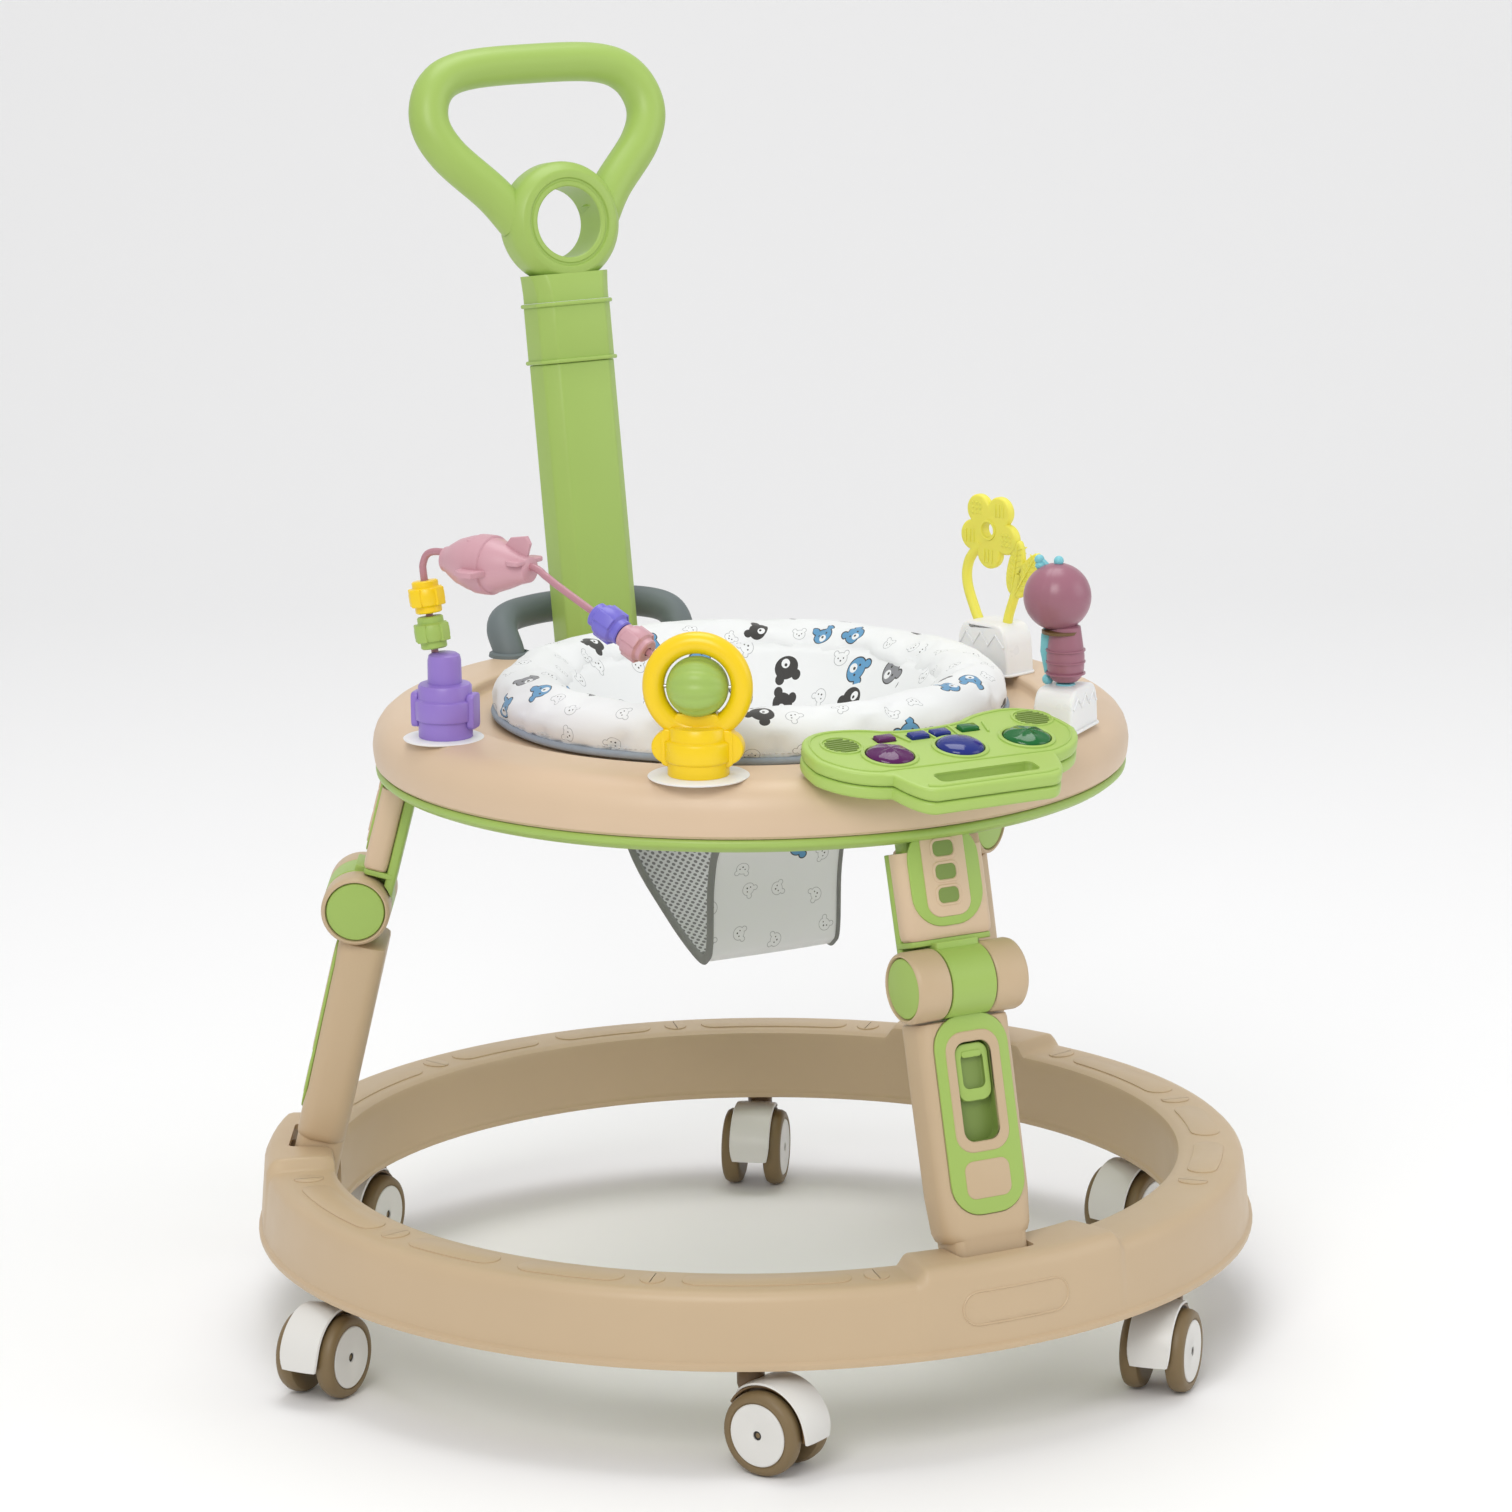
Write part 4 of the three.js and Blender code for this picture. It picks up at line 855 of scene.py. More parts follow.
def make_caster(name, turn, trail):
    x, y = polar(CASTER_CIRCLE, turn)
    place = at(RING_X + x, y, 0, rz=trail)
    fork = Part()
    fork.turned([(0, 52), (5.5, 53), (5.5, 112), (0, 113)], 24, None, "steel")
    collar = [(0, 50), (8, 51), (9.2, 55), (9.2, 62), (7.5, 64.5), (7.5, 68.5), (0, 69)]
    fork.turned(collar, 28, None, "fork")
    web = arc(0, 0, 30.6, -8, 156, 30) + arc(0, 0, 9.0, 212, 300, 8)
    fork.slab(web, -7.4, 7.4, on_axle(), "fork", 1.2)
    guard = arc(0, 0, 31.9, -4, 150, 30) + arc(0, 0, 29.9, 150, -4, 30)
    fork.slab(guard, -13.6, 13.6, on_axle(), "fork", 0.6)
    fork.loft(hood_rings(), on_axle(), "silver")
    fork.finish(
        "caster_fork_look_" + name, "caster_" + name, place,
        ["caster_fork_" + name], "fork_brown",
    )
    wheels = Part()
    for side in (-1, 1):
        wheels.turned(TYRE_PROFILE, 56, on_axle(side), "tyre")
        wheels.turned(DISC_PROFILE, 48, on_axle(side), "silver")
        # The eye disc: painted shade in the hub's centre hole.
        wheels.turned(EYE_PROFILE, 20, on_axle(side), "hole")
    wheels.turned([(0, -10), (3, -10), (3, 10), (0, 10)], 16, on_axle(), "steel")
    wheels.finish(
        "wheels_look_" + name, "wheels_" + name, place,
        ["caster_wheels_" + name], "wheel_brown",
    )


# ------------------------------------------------------------------ legs
def leg_section(width, thickness, corner, x=0.0, crown=0.0):
    """Section across a leg: x outward, y across."""
    made = []
    for px, py in rounded(thickness, width, corner, 5):
        bulge = crown * (1 - (2 * py / width) ** 2) if px > 0 else 0
        made.append((px + x + bulge, py))
    return made


def face_on(x, z):
    """A place on a leg's outer face: outline x runs across the leg, y up it, z outwards."""
    turn = Matrix(((0, 0, 1, 0), (1, 0, 0, 0), (0, 1, 0, 0), (0, 0, 0, 1)))
    return Matrix.Translation((x, 0, z)) @ turn


def lower_leg_shape():
    """The lower leg and its lime inlay, shaped once for all three legs."""
    stations = [
        (39.0, 57, 31, 11), (41.0, 62, 32.4, 11), (46, 66, 33, 11), (70, 69, 33, 10),
        (150, 70, 33, 10), (182, 70, 33, 10), (184.5, 69, 32, 10), (185.2, 66, 30, 9),
    ]
    part = Part()
    part.loft(
        [[(x, y, z) for x, y in leg_section(w, t, c, 0, 1.2)] for z, w, t, c in stations],
        None, "sand",
    )
    foot = [(0.0, 53.6), (30.0, 54.0), (40.5, 55.0)]
    part.loft([[(x, y, z) for x, y in leg_section(w, 32.6, 7)] for z, w in foot], None, "sand")
    trunnion = [(0, -26.8), (15.6, -26.8), (16.3, -26), (16.3, 26), (15.6, 26.8), (0, 26.8)]
    part.turned(trunnion, 40, at(rx=90), "sand")
    cutter = Part()
    window = rounded(27.5, 66, 8, 6)
    # The cutter's darkened lime becomes the window's walls: painted shade in the recess.
    cutter.slab(window, -7, 10, face_on(16.5, 137), "lime_dark", 0.4)
    panel = rounded(57, 133, 22, 8)
    groove = Part().slab(panel, -1.2, 6, face_on(17.2, 122), "sand", 0.2)
    drum = [(0, -60), (25.4, -60), (25.4, 60), (0, 60)]
    part.carve(groove, Part().turned(drum, 64, at(*KNEE_ON_LEG, rx=90), "sand"))
    inlay = Part().slab(inset(panel, 0.5), -1.0, 1.3, face_on(17.2, 122), "lime", 0.8)
    inlay.carve(cutter.copy())
    inlay.frame(rounded(41, 80, 13, 6), window, -0.5, 2.0, face_on(17.2, 137), "sand", 0.6)
    part.carve(cutter)
    inlay.slab(rounded(34, 25, 6.5, 6), 0, 1.9, face_on(17.2, 79), "sand", 0.7)
    # The window's floor in darkened lime: painted shade in the recess.
    inlay.slab(rounded(27, 65.5, 7.6, 6), -7.6, -6.8, face_on(16.5, 137), "lime_dark", 0.1)
    return part, inlay


BARREL_PROFILE = [
    (20.6, 17.5), (22.8, 17.5), (23.7, 18.3), (24.0, 19.4), (24.0, 38.6), (23.3, 40.8),
    (21.9, 42.0), (21.2, 42.0), (20.9, 41.3), (20.6, 39.4),
]
CAP_PROFILE = [(0, 36.5), (20.3, 36.5), (20.3, 40.2), (19.6, 41.1), (17.5, 41.5), (0, 42.2)]


def make_leg(name, turn, shapes):
    base = at(RING_X) @ at(rz=turn)
    low = base @ at(FOOT[0], 0, FOOT[1], ry=LOWER_LEAN)
    high = base @ at(KNEE[0], 0, KNEE[1], ry=UPPER_LEAN)
    lower_body, upper_body = "lower_leg_" + name, "upper_leg_" + name
    body, inlay = (shape.copy() for shape in shapes)
    for side in (-1, 1):
        body.turned(BARREL_PROFILE, 56, at(*KNEE_ON_LEG, rx=90 * side), "sand")
    body.finish("lower_leg_look_" + name, lower_body, low, ["lower_leg_" + name], "base_sand", 34)
    inlay.finish("leg_inlay_" + name, lower_body, low, [], "lime_plastic", 34)
    caps = Part()
    for side in (-1, 1):
        caps.turned(CAP_PROFILE, 56, at(*KNEE_ON_LEG, rx=90 * side), "lime")
    caps.finish("knee_caps_" + name, lower_body, low, ["knee_pin_" + name], "lime_plastic")
    slider = Part()
    slider.slab(rounded(25.2, 38, 7.2, 6), -6.2, -0.4, face_on(16.5, 149.6), "lime", 0.8)
    # The thumb pocket's walls and floor take the darkened lime: painted shade.
    thumb = Part().slab(rounded(17, 24, 4.5, 6), -3.8, 3, face_on(16.5, 150.6), "lime_dark", 0.8)
    slider.carve(thumb)
    slider.slab(rounded(15, 4.5, 2, 4, 0, 11), -3.0, 0.4, face_on(16.5, 150.6), "lime", 0.7)
    slider.finish(
        "latch_look_" + name, "latch_" + name, low, ["latch_slider_" + name], "lime_plastic"
    )
    core = Part()
    core.turned(
        [(0, -16.6), (23.2, -16.6), (24.0, -15.8), (24.0, 15.8), (23.2, 16.6), (0, 16.6)],
        56, at(rx=90), "lime",
    )
    core.slab(rounded(7, 61, 2, 3, -18.4), 3.0, 88, None, "lime", 0.8)
    core.slab(rounded(30, 32.4, 2, 3, -7), 4, 27, None, "lime", 0.6)
    core.slab(rounded(23, 62, 4, 4, -10.4), 25.4, 29.2, None, "lime", 0.6)
    core.slab(rounded(14, 50, 4, 5, -10), 80, 126, None, "lime", 0.6)
    pin = [(0, -25), (8.6, -25), (9, -24.4), (9, 24.4), (8.6, 25), (0, 25)]
    core.turned(pin, 28, at(-10, 0, 126.2, rx=90), "lime")
    cheek = [(0, 17.2), (25.3, 17.2), (25.3, 60), (0, 60)]
    core.carve(*(Part().turned(cheek, 48, at(rx=90 * side), "lime") for side in (-1, 1)))
    core.finish(
        "upper_core_look_" + name, upper_body, high,
        ["upper_leg_core_" + name], "lime_plastic", 34,
    )
    shell = Part()
    stations = [
        (29.4, 60, 14.6, 4.0), (31.0, 64, 16.2, 5.5), (35, 66, 16.8, 6.5), (88, 66.4, 16.8, 6.5),
    ]
    shell.loft(
        [[(x, y, z) for x, y in leg_section(w, t, c, -6.3, 0.8)] for z, w, t, c in stations],
        None, "beige",
    )
    shell.slab(rounded(54, 66, 22, 8), 0.2, 2.3, face_on(1.4, 70), "lime", 0.8)
    shell.slab(rounded(33, 70, 10, 6), 1.2, 3.2, face_on(1.4, 78), "beige", 0.8)
    for k in range(3):
        spot = face_on(1.4, 57 + 15.5 * k)
        outer, inner = rounded(20, 14.4, 5, 5), rounded(15.5, 10.2, 3.6, 5)
        shell.frame(outer, inner, 2.2, 3.9, spot, "beige", 0.6)
        # Each small pocket's floor is darkened lime: painted shade.
        shell.slab(rounded(15.4, 10.1, 3.5, 5), 2.4, 3.35, spot, "lime_dark", 0.1, 1)
    shell.finish(
        "upper_shell_look_" + name, upper_body, high,
        ["upper_leg_shell_" + name], "tray_beige", 34,
    )


# ------------------------------------------------------------------ tray
def make_tray():
    z = TRAY_TOP - 48
    top = [
        (258.4, 10.9), (259.4, 12.2), (260.6, 13.0), (260.9, 14.2), (261.6, 18.5), (262.0, 24.0),
        (261.3, 29.5), (259.4, 35.2), (256.2, 40.0), (251.6, 44.0), (246.0, 46.8), (240.0, 48.0),
        (206.0, 48.4), (203.4, 48.0), (202.2, 46.8), (201.6, 44.0), (200.6, 41.2), (199.0, 40.2),
        (190.0, 40.0), (158.0, 40.0), (154.5, 39.4), (152.6, 37.6), (151.9, 30.0), (150.6, 30.0),
        (150.6, 37.0), (200.0, 37.6), (203.0, 45.0), (240.0, 45.0), (252.0, 40.0), (257.6, 30.0),
        (258.4, 20.0),
    ]
    upper = Part().turned([(r, h + z) for r, h in top], 192, None, "beige")
    for turn, plate in ((178, 27), (232.3, 33)):
        t = math.radians(turn)
        spot = at(233 * math.cos(t), 233 * math.sin(t), TRAY_TOP)
        profile = [(0, -0.8), (plate, -0.8), (plate + 0.6, 0.1), (plate - 0.4, 0.75), (0, 0.9)]
        upper.turned(profile, 56, spot, "white")
    upper.finish("tray_top_look", "tray", at(RING_X), ["tray_top"], "tray_beige", 40)
    under = [
        (258.2, 10.5), (259.6, 9.6), (260.3, 7.8), (259.9, 5.8), (258.2, 4.4), (255.6, 2.4),
        (251.6, 0.7), (247.0, 0.0), (152.6, 0.0), (152.6, 36.0), (155.2, 36.0), (155.4, 2.6),
        (247.0, 2.7), (253.0, 5.0), (255.4, 10.5),
    ]
    lower = Part().turned([(r, h + z) for r, h in under], 160, None, "lime")
    tools = []
    for turn in LEGS.values():
        leg = at(rz=turn)
        tools.append(Part().box(70, 71, 60, leg @ at(178, 0, z), "lime", 0.1, 2))
        tools.append(Part().box(66, 54, 60, leg @ at(214, 0, z), "lime", 0.1, 2))
    lower.carve(*tools)
    for turn in LEGS.values():
        for side in (-1, 1):
            lower.box(22, 3, 34, at(rz=turn) @ at(233, side * 28.8, z + 19), "lime", 0.4, 1)
    lower.finish("tray_bottom_look", "tray", at(RING_X), ["tray_bottom"], "lime_plastic", 40)


# ------------------------------------------------------------------ seat
RIM_PROFILE = [
    (172.0, 435.2), (175.6, 437.4), (177.6, 442.0), (177.0, 448.5), (173.6, 455.4),
    (168.2, 461.6), (161.6, 466.0), (154.6, 468.2), (147.6, 467.6), (140.8, 464.2),
    (134.6, 458.8), (129.6, 452.4), (126.6, 446.0), (126.4, 440.0), (130.4, 436.2),
    (140.0, 434.8), (156.0, 434.4),
]


RIM_MIDDLE, SKIRT_MIDDLE = 0.158, 0.12  # radii that the cloth's flat length is taken at, in metres


def lengths(points):
    """Running length along a line, from 0 at its first point."""
    made = [0.0]
    for (a, b), (c, d) in zip(points, points[1:]):
        made.append(made[-1] + math.hypot(c - a, d - b))
    return made


def make_rim():
    """The padded rim: a closed cover, blown up over its filling and held along the seams."""
    around = 232
    fine = []
    n = len(RIM_PROFILE)
    for i in range(n):
        a, b = RIM_PROFILE[i], RIM_PROFILE[(i + 1) % n]
        for k in range(2):
            fine.append((a[0] + (b[0] - a[0]) * k / 2, a[1] + (b[1] - a[1]) * k / 2))
    rows = len(fine)
    run = lengths(fine)
    points, faces = [], []
    for i in range(around):
        a = 2 * math.pi * i / around
        for r, z in fine:
            tuck = 0.9 * noise.noise(Vector((math.cos(a) * 9, math.sin(a) * 9, z * 0.03)))
            points.append(((r + tuck) * math.cos(a), (r + tuck) * math.sin(a), z))
    for i in range(around):
        for k in range(rows):
            j, m = (i + 1) % around, (k + 1) % rows
            faces.append((i * rows + k, j * rows + k, j * rows + m, i * rows + m))
    part = Part().add(points, faces, None, "print")
    layer = part.uv
    part.bm.verts.ensure_lookup_table()
    part.bm.verts.index_update()
    for face in part.bm.faces:
        corners = [loop.vert.index for loop in face.loops]
        wraps = max(corners) // rows - min(corners) // rows > 1
        ends = {c % rows for c in corners} == {0, rows - 1}
        for loop in face.loops:
            i, k = divmod(loop.vert.index, rows)
            u = (2 * math.pi if wraps and i == 0 else 0) + 2 * math.pi * i / around
            v = run[k] if not (ends and k == 0) else run[-1] + 8
            loop[layer].uv = (u * RIM_MIDDLE, v * MM)
    made = part.finish("seat_rim_look", "tray", at(RING_X), ["seat_rim"], "seat_fabric", 80)
    blow_up(made, rows, around)
    count, seam_radius = 240, 177.2
    angles = [2 * math.pi * i / count for i in range(count)]
    line = [
        (seam_radius * math.cos(a), seam_radius * math.sin(a), 437.3 + 0.5 * math.sin(a * 7))
        for a in angles
    ]
    piping = Part().loop_tube(line, sizes().piping, 10, None, "piping")
    piping.finish("seat_piping_look", "tray", at(RING_X), [], "seat_fabric", 80)
    seam = [(177.6 * math.cos(a) + RING_X, 177.6 * math.sin(a), 442.2) for a in angles]
    row("rim_stitches", [seam], "tray", closed=True)


def blow_up(piece, rows, around):
    """A short cloth simulation: the cover is a little large and fills under pressure.

    The underside is held, and eight seams across the rim are held loosely.
    """
    frames, most = 18, 0.0028  # most: how far the cover may move, in metres
    held = piece.vertex_groups.new(name="held")
    low = [v.index for v in piece.data.vertices if v.co.z < 0.4372]
    seams = [i * rows + k for i in range(0, around, around // 8) for k in range(rows)]
    held.add(seams, 0.35, "REPLACE")
    held.add(low, 1.0, "REPLACE")
    step = piece.modifiers.new("cover", "CLOTH")
    step.settings.quality = 6
    step.settings.mass = 0.2
    step.settings.use_pressure = True
    step.settings.uniform_pressure_force = 4
    step.settings.tension_stiffness = 22
    step.settings.compression_stiffness = 6
    step.settings.shear_stiffness = 5
    step.settings.bending_stiffness = 0.25
    step.settings.shrink_min = -sizes().cloth_excess
    step.settings.shrink_max = -sizes().cloth_excess
    step.settings.vertex_group_mass = "held"
    step.settings.effector_weights.gravity = 0
    step.collision_settings.use_collision = False
    step.collision_settings.use_self_collision = False
    scene = bpy.context.scene
    for number in range(1, frames + 1):
        scene.frame_set(number)
    got = piece.evaluated_get(bpy.context.evaluated_depsgraph_get())
    moved = np.zeros(len(piece.data.vertices) * 3)
    got.data.vertices.foreach_get("co", moved)
    rest = np.zeros_like(moved)
    piece.data.vertices.foreach_get("co", rest)
    shift = (moved - rest).reshape(-1, 3)
    size = np.linalg.norm(shift, axis=1, keepdims=True)
    shift *= np.minimum(1.0, most / np.maximum(size, 1e-9))
    piece.modifiers.clear()
    scene.frame_set(1)
    piece.data.vertices.foreach_set("co", (rest.reshape(-1, 3) + shift).ravel())
    piece.data.update()


def strip_mesh(part, line, half, thickness, look, sag=0.0):
    """A strip along a line in y and z, spanning x, with flat coordinates along it."""
    run = lengths(line)
    across = 15
    points, uv, faces = [], [], []
    n = len(line)
    for layer in (0, 1):
        for i, (y, z) in enumerate(line):
            y0, z0 = line[max(i - 1, 0)]
            y1, z1 = line[min(i + 1, n - 1)]
            size = math.hypot(y1 - y0, z1 - z0)
            ny, nz = (z1 - z0) / size, -(y1 - y0) / size
            for k in range(across):
                x = -half + 2 * half * k / (across - 1)
                over = math.sin(math.pi * k / (across - 1)) * math.sin(math.pi * i / (n - 1))
                off = sag * over + layer * thickness
                points.append((x, y + ny * off, z + nz * off))
                uv.append((x * MM, run[i] * MM))
    size = n * across
    for i in range(n - 1):
        for k in range(across - 1):
            a = i * across + k
            faces.append((a, a + 1, a + across + 1, a + across))
            faces.append((a + size, a + size + across, a + size + across + 1, a + size + 1))
    for i in range(n - 1):
        for k in (0, across - 1):
            a = i * across + k
            faces.append((a, a + across, a + across + size, a + size))
    for k in range(across - 1):
        for i in (0, n - 1):
            a = i * across + k
            faces.append((a, a + 1, a + 1 + size, a + size))
    part.add(points, faces, None, look, uv)


def make_sling():
    path = [
        (-126.5, 430), (-96, 404), (-46, 356), (-33, 325), (-30, 281), (-25.5, 269.4),
        (-13, 267.5), (30, 288), (86, 327), (116, 390), (128, 428),
    ]
    fine = [(p.x, p.y) for p in smooth_path([(y, z, 0) for y, z in path], 6)]
    turn = 36  # the point where print meets net
    front, back = fine[: turn + 1], fine[turn:]
    for label, line, look in (("front", front, "print"), ("back", back, "net")):
        part = Part()
        strip_mesh(part, line, 52.0, 1.6, look, 1.5)
        piece = part.finish("sling_" + label, "tray", at(RING_X), [], "seat_fabric", 60)
        lengths(line)[-1]
    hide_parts("seat_sling")
    tapes = Part()
    lines = []
    for side in (-1, 1):
        edge = [(side * 50.8, y, z) for y, z in fine]
        tapes.tube(edge, sizes().binding / 2, 10, None, "binding", 0.55, (1, 0, 0))
        lines.append([(side * 45.5 + RING_X, y - 0.9, z) for y, z in front])
    seam = fine[turn]
    tapes.tube([(x, *seam) for x in range(-52, 53, 8)], 2.4, 8, None, "binding")
    taped = tapes.finish("sling_binding", "tray", at(RING_X), [], "seat_fabric", 60)
    stitched = row("sling_stitches", lines, "tray")


def make_skirt():
    """The seat's inner wall: cloth from the rim down to the strip, shallower at the sides than in
    front and behind.
    """
    around, rows = 128, 9
    top_radius, top, lean = 130.5, 455.0, 0.72
    shallow, deeper = 44, 18  # depth at the sides, and how much more it is in front and behind
    points, uv, faces, hem = [], [], [], []
    for i in range(around):
        a = 2 * math.pi * i / around
        depth = shallow + deeper * math.sin(a) ** 2
        for k in range(rows):
            t = k / (rows - 1)
            fold = 1.1 * noise.noise(Vector((math.cos(a) * 7, math.sin(a) * 7, t * 1.2)))
            r = top_radius - lean * depth * t + fold * t * 1.6
            z = top - depth * t
            points.append((r * math.cos(a), r * math.sin(a), z))
            uv.append((a * SKIRT_MIDDLE, depth * t * MM))
            if k == rows - 1:
                hem.append(points[-1])
    for i in range(around):
        for k in range(rows - 1):
            j = (i + 1) % around
            faces.append((i * rows + k, i * rows + k + 1, j * rows + k + 1, j * rows + k))
    part = Part().add(points, faces, None, "print", uv)
    for face in part.bm.faces:
        us = [loop[part.uv].uv.x for loop in face.loops]
        if max(us) - min(us) > 0.2:
            for loop in face.loops:
                if loop[part.uv].uv.x < 0.1:
                    loop[part.uv].uv.x += 2 * math.pi * SKIRT_MIDDLE
    made = part.finish("seat_skirt", "tray", at(RING_X), [], "seat_fabric", 80)
    step = made.modifiers.new("thick", "SOLIDIFY")
    step.thickness = 0.0014
    bpy.context.view_layer.update()
    got = made.evaluated_get(bpy.context.evaluated_depsgraph_get())
    thick = bpy.data.meshes.new_from_object(got)
    made.modifiers.clear()
    made.data = thick
    tapes = Part().loop_tube(hem, 2.0, 8, None, "binding")
    taped = tapes.finish("skirt_hem", "tray", at(RING_X), [], "seat_fabric", 80)


# ------------------------------------------------------------------ handle
def octagon(width, depth, corner, grow=0.0):
    """A rectangle with cut corners, its edges a little rounded."""
    w, h, c = width / 2 + grow, depth / 2 + grow, corner
    made = [
        (w - c, -h), (w, c - h), (w, h - c), (w - c, h),
        (c - w, h), (-w, h - c), (-w, c - h), (c - w, -h),
    ]
    soft = []
    for i, p in enumerate(made):
        a, b = Vector(made[i - 1]), Vector(made[(i + 1) % len(made)])
        p = Vector(p)
        for t in (0.0, 0.33, 0.67, 1.0):
            one = p + (a - p).normalized() * 1.8 * (1 - t)
            two = p + (b - p).normalized() * 1.8 * t
            soft.append(tuple(one * (1 - t) + two * t))
    return soft


def make_handle():
    place = at(RING_X, 228, 447.06, rx=-9)
    section = octagon(58, 40, 9)
    bar = Part().slab(section, -37, 199.6, None, "lime", 0.8)
    bar.finish("push_bar_look", "tray", place, ["push_bar"], "lime_plastic", 25)
    sleeve = Part()
    wide = octagon(58, 40, 9, 0.5)
    sleeve.slab(wide, 200.0, 243.6, None, "lime", 0.6)
    for low in (199.8, 240.8):
        sleeve.slab(octagon(58, 40, 9.6, 2.2), low, low + 3.0, None, "lime", 1.2)
    sleeve.finish("coupler_look", "tray", place, ["push_bar_coupler"], "lime_plastic", 25)
    head = Part()
    rings = []
    for z, w, d in ((244, 58, 40), (250, 58, 40), (258, 60, 38), (264, 63, 34)):
        rings.append([(x, y, z) for x, y in octagon(w, d, 8.5)])
    head.loft(rings, None, "lime")
    hub = [
        (25.5, -15.6), (26.4, -16.4), (29.0, -16.6), (29.8, -15.6), (31.2, -15.6), (32.0, -17.0),
        (36.6, -17.2), (38.0, -16.4), (42.2, -11.6), (43.6, -9.4), (44.0, -6.0), (44.0, 6.0),
        (43.2, 9.4), (38.6, 15.4), (36.4, 16.4), (27.0, 16.6), (25.5, 15.6),
    ]
    middle = 300.5  # the hub's height along the bar
    head.turned(hub, 96, at(0, 0, middle, rx=-90), "lime")
    w, rise = 88.0, 119.5
    half = [
        (33, 0, 2), (49, 0, 25), (w - 10, 0, rise * 0.47), (w, 0, rise * 0.68),
        (w - 9, 0, rise * 0.88), (w - 34, 0, rise * 0.98), (0, 0, rise),
    ]
    line = [(-x, y, z) for x, y, z in half] + half[-2::-1]
    grip = at(0, 0, middle, rx=-12.5)
    head.tube(smooth_path(line, 12), 14.3, 28, grip, "lime", 1.0, (0, 1, 0))
    head.finish("push_head_look", "tray", place, ["push_head"], "lime_plastic", 34)


def make_rail():
    w, rise = 69.0, 22.0
    half = [
        (w - 1, 226, -20), (w + 1, 230, 2), (w, 243, rise - 5),
        (w - 14, 259, rise), (w - 42, 271, rise + 1), (0, 274, rise + 1),
    ]
    line = [(-x, y, z + TRAY_TOP) for x, y, z in half]
    line += [(x, y, z + TRAY_TOP) for x, y, z in half[-2::-1]]
    rail = Part().tube(smooth_path(line, 10), 11.2, 28, None, "rail")
    collar = [(11.6, 0), (15.5, 0), (15.0, 2.4), (11.8, 3.4)]
    for side in (-1, 1):
        rail.turned(collar, 36, at(side * 69.6, 229.6, TRAY_TOP), "rail")
    rail.finish("rail_look", "tray", at(RING_X), ["rear_rail"], "rail_grey", 60)


# ------------------------------------------------------------------ piano
def bezier(a, b, c, steps=8):
    """A curve from a to c, drawn towards b. Its last point is left to what follows."""
    made = []
    for i in range(steps):
        t = i / steps
        made.append(tuple(
            (1 - t) ** 2 * p + 2 * t * (1 - t) * q + t * t * r for p, q, r in zip(a, b, c)
        ))
    return made


def piano_outline(handle=True):
    h = 99.0
    made = bezier((-h, -2), (-h + 8, -30), (-62, -38))
    if handle:
        made += bezier((-62, -38), (-58, -68), (-46, -70)) + [(-46, -70)]
        made += bezier((42, -70), (54, -68), (62, -38))
    made += bezier((62, -38), (h - 8, -30), (h, -2))
    made += bezier((h, -2), (h, 44), (h - 34, 44), 10)
    made += bezier((h - 34, 44), (42, 42), (30, 33))
    made += bezier((30, 33), (0, 25), (-30, 33), 10)
    made += bezier((-30, 33), (-42, 42), (-h + 34, 44))
    made += bezier((-h + 34, 44), (-h, 44), (-h, -2), 10)
    return made


DOMES = {"purple": (-48, -9), "blue": (5, -10), "green": (57, -9)}
KEYS = {
    "purple": (-37, 17, "gem_purple"), "blue_1": (-12.5, 15, "gem_blue"),
    "blue_2": (4, 15, "gem_blue"), "green": (27, 17, "gem_green"),
}


def dome_rings(flute):
    """Sections of a dome button, with six flutes when flute isn't nought."""
    radius, rows, sides = 15.9, 8, 60
    turns = [2 * math.pi * i / sides for i in range(sides)]
    rings = [[(radius * math.cos(a), radius * math.sin(a), 12.9) for a in turns]]
    for k in range(rows + 1):
        t = math.pi / 2 * k / rows
        r = radius * math.cos(t) + 0.05
        ring = []
        for a in turns:
            cut = flute * abs(math.cos(a * 3)) * math.sin(2 * t)
            ring.append((r * math.cos(a), r * math.sin(a), 19.2 + 5.6 * math.sin(t) - cut))
        rings.append(ring)
    return rings


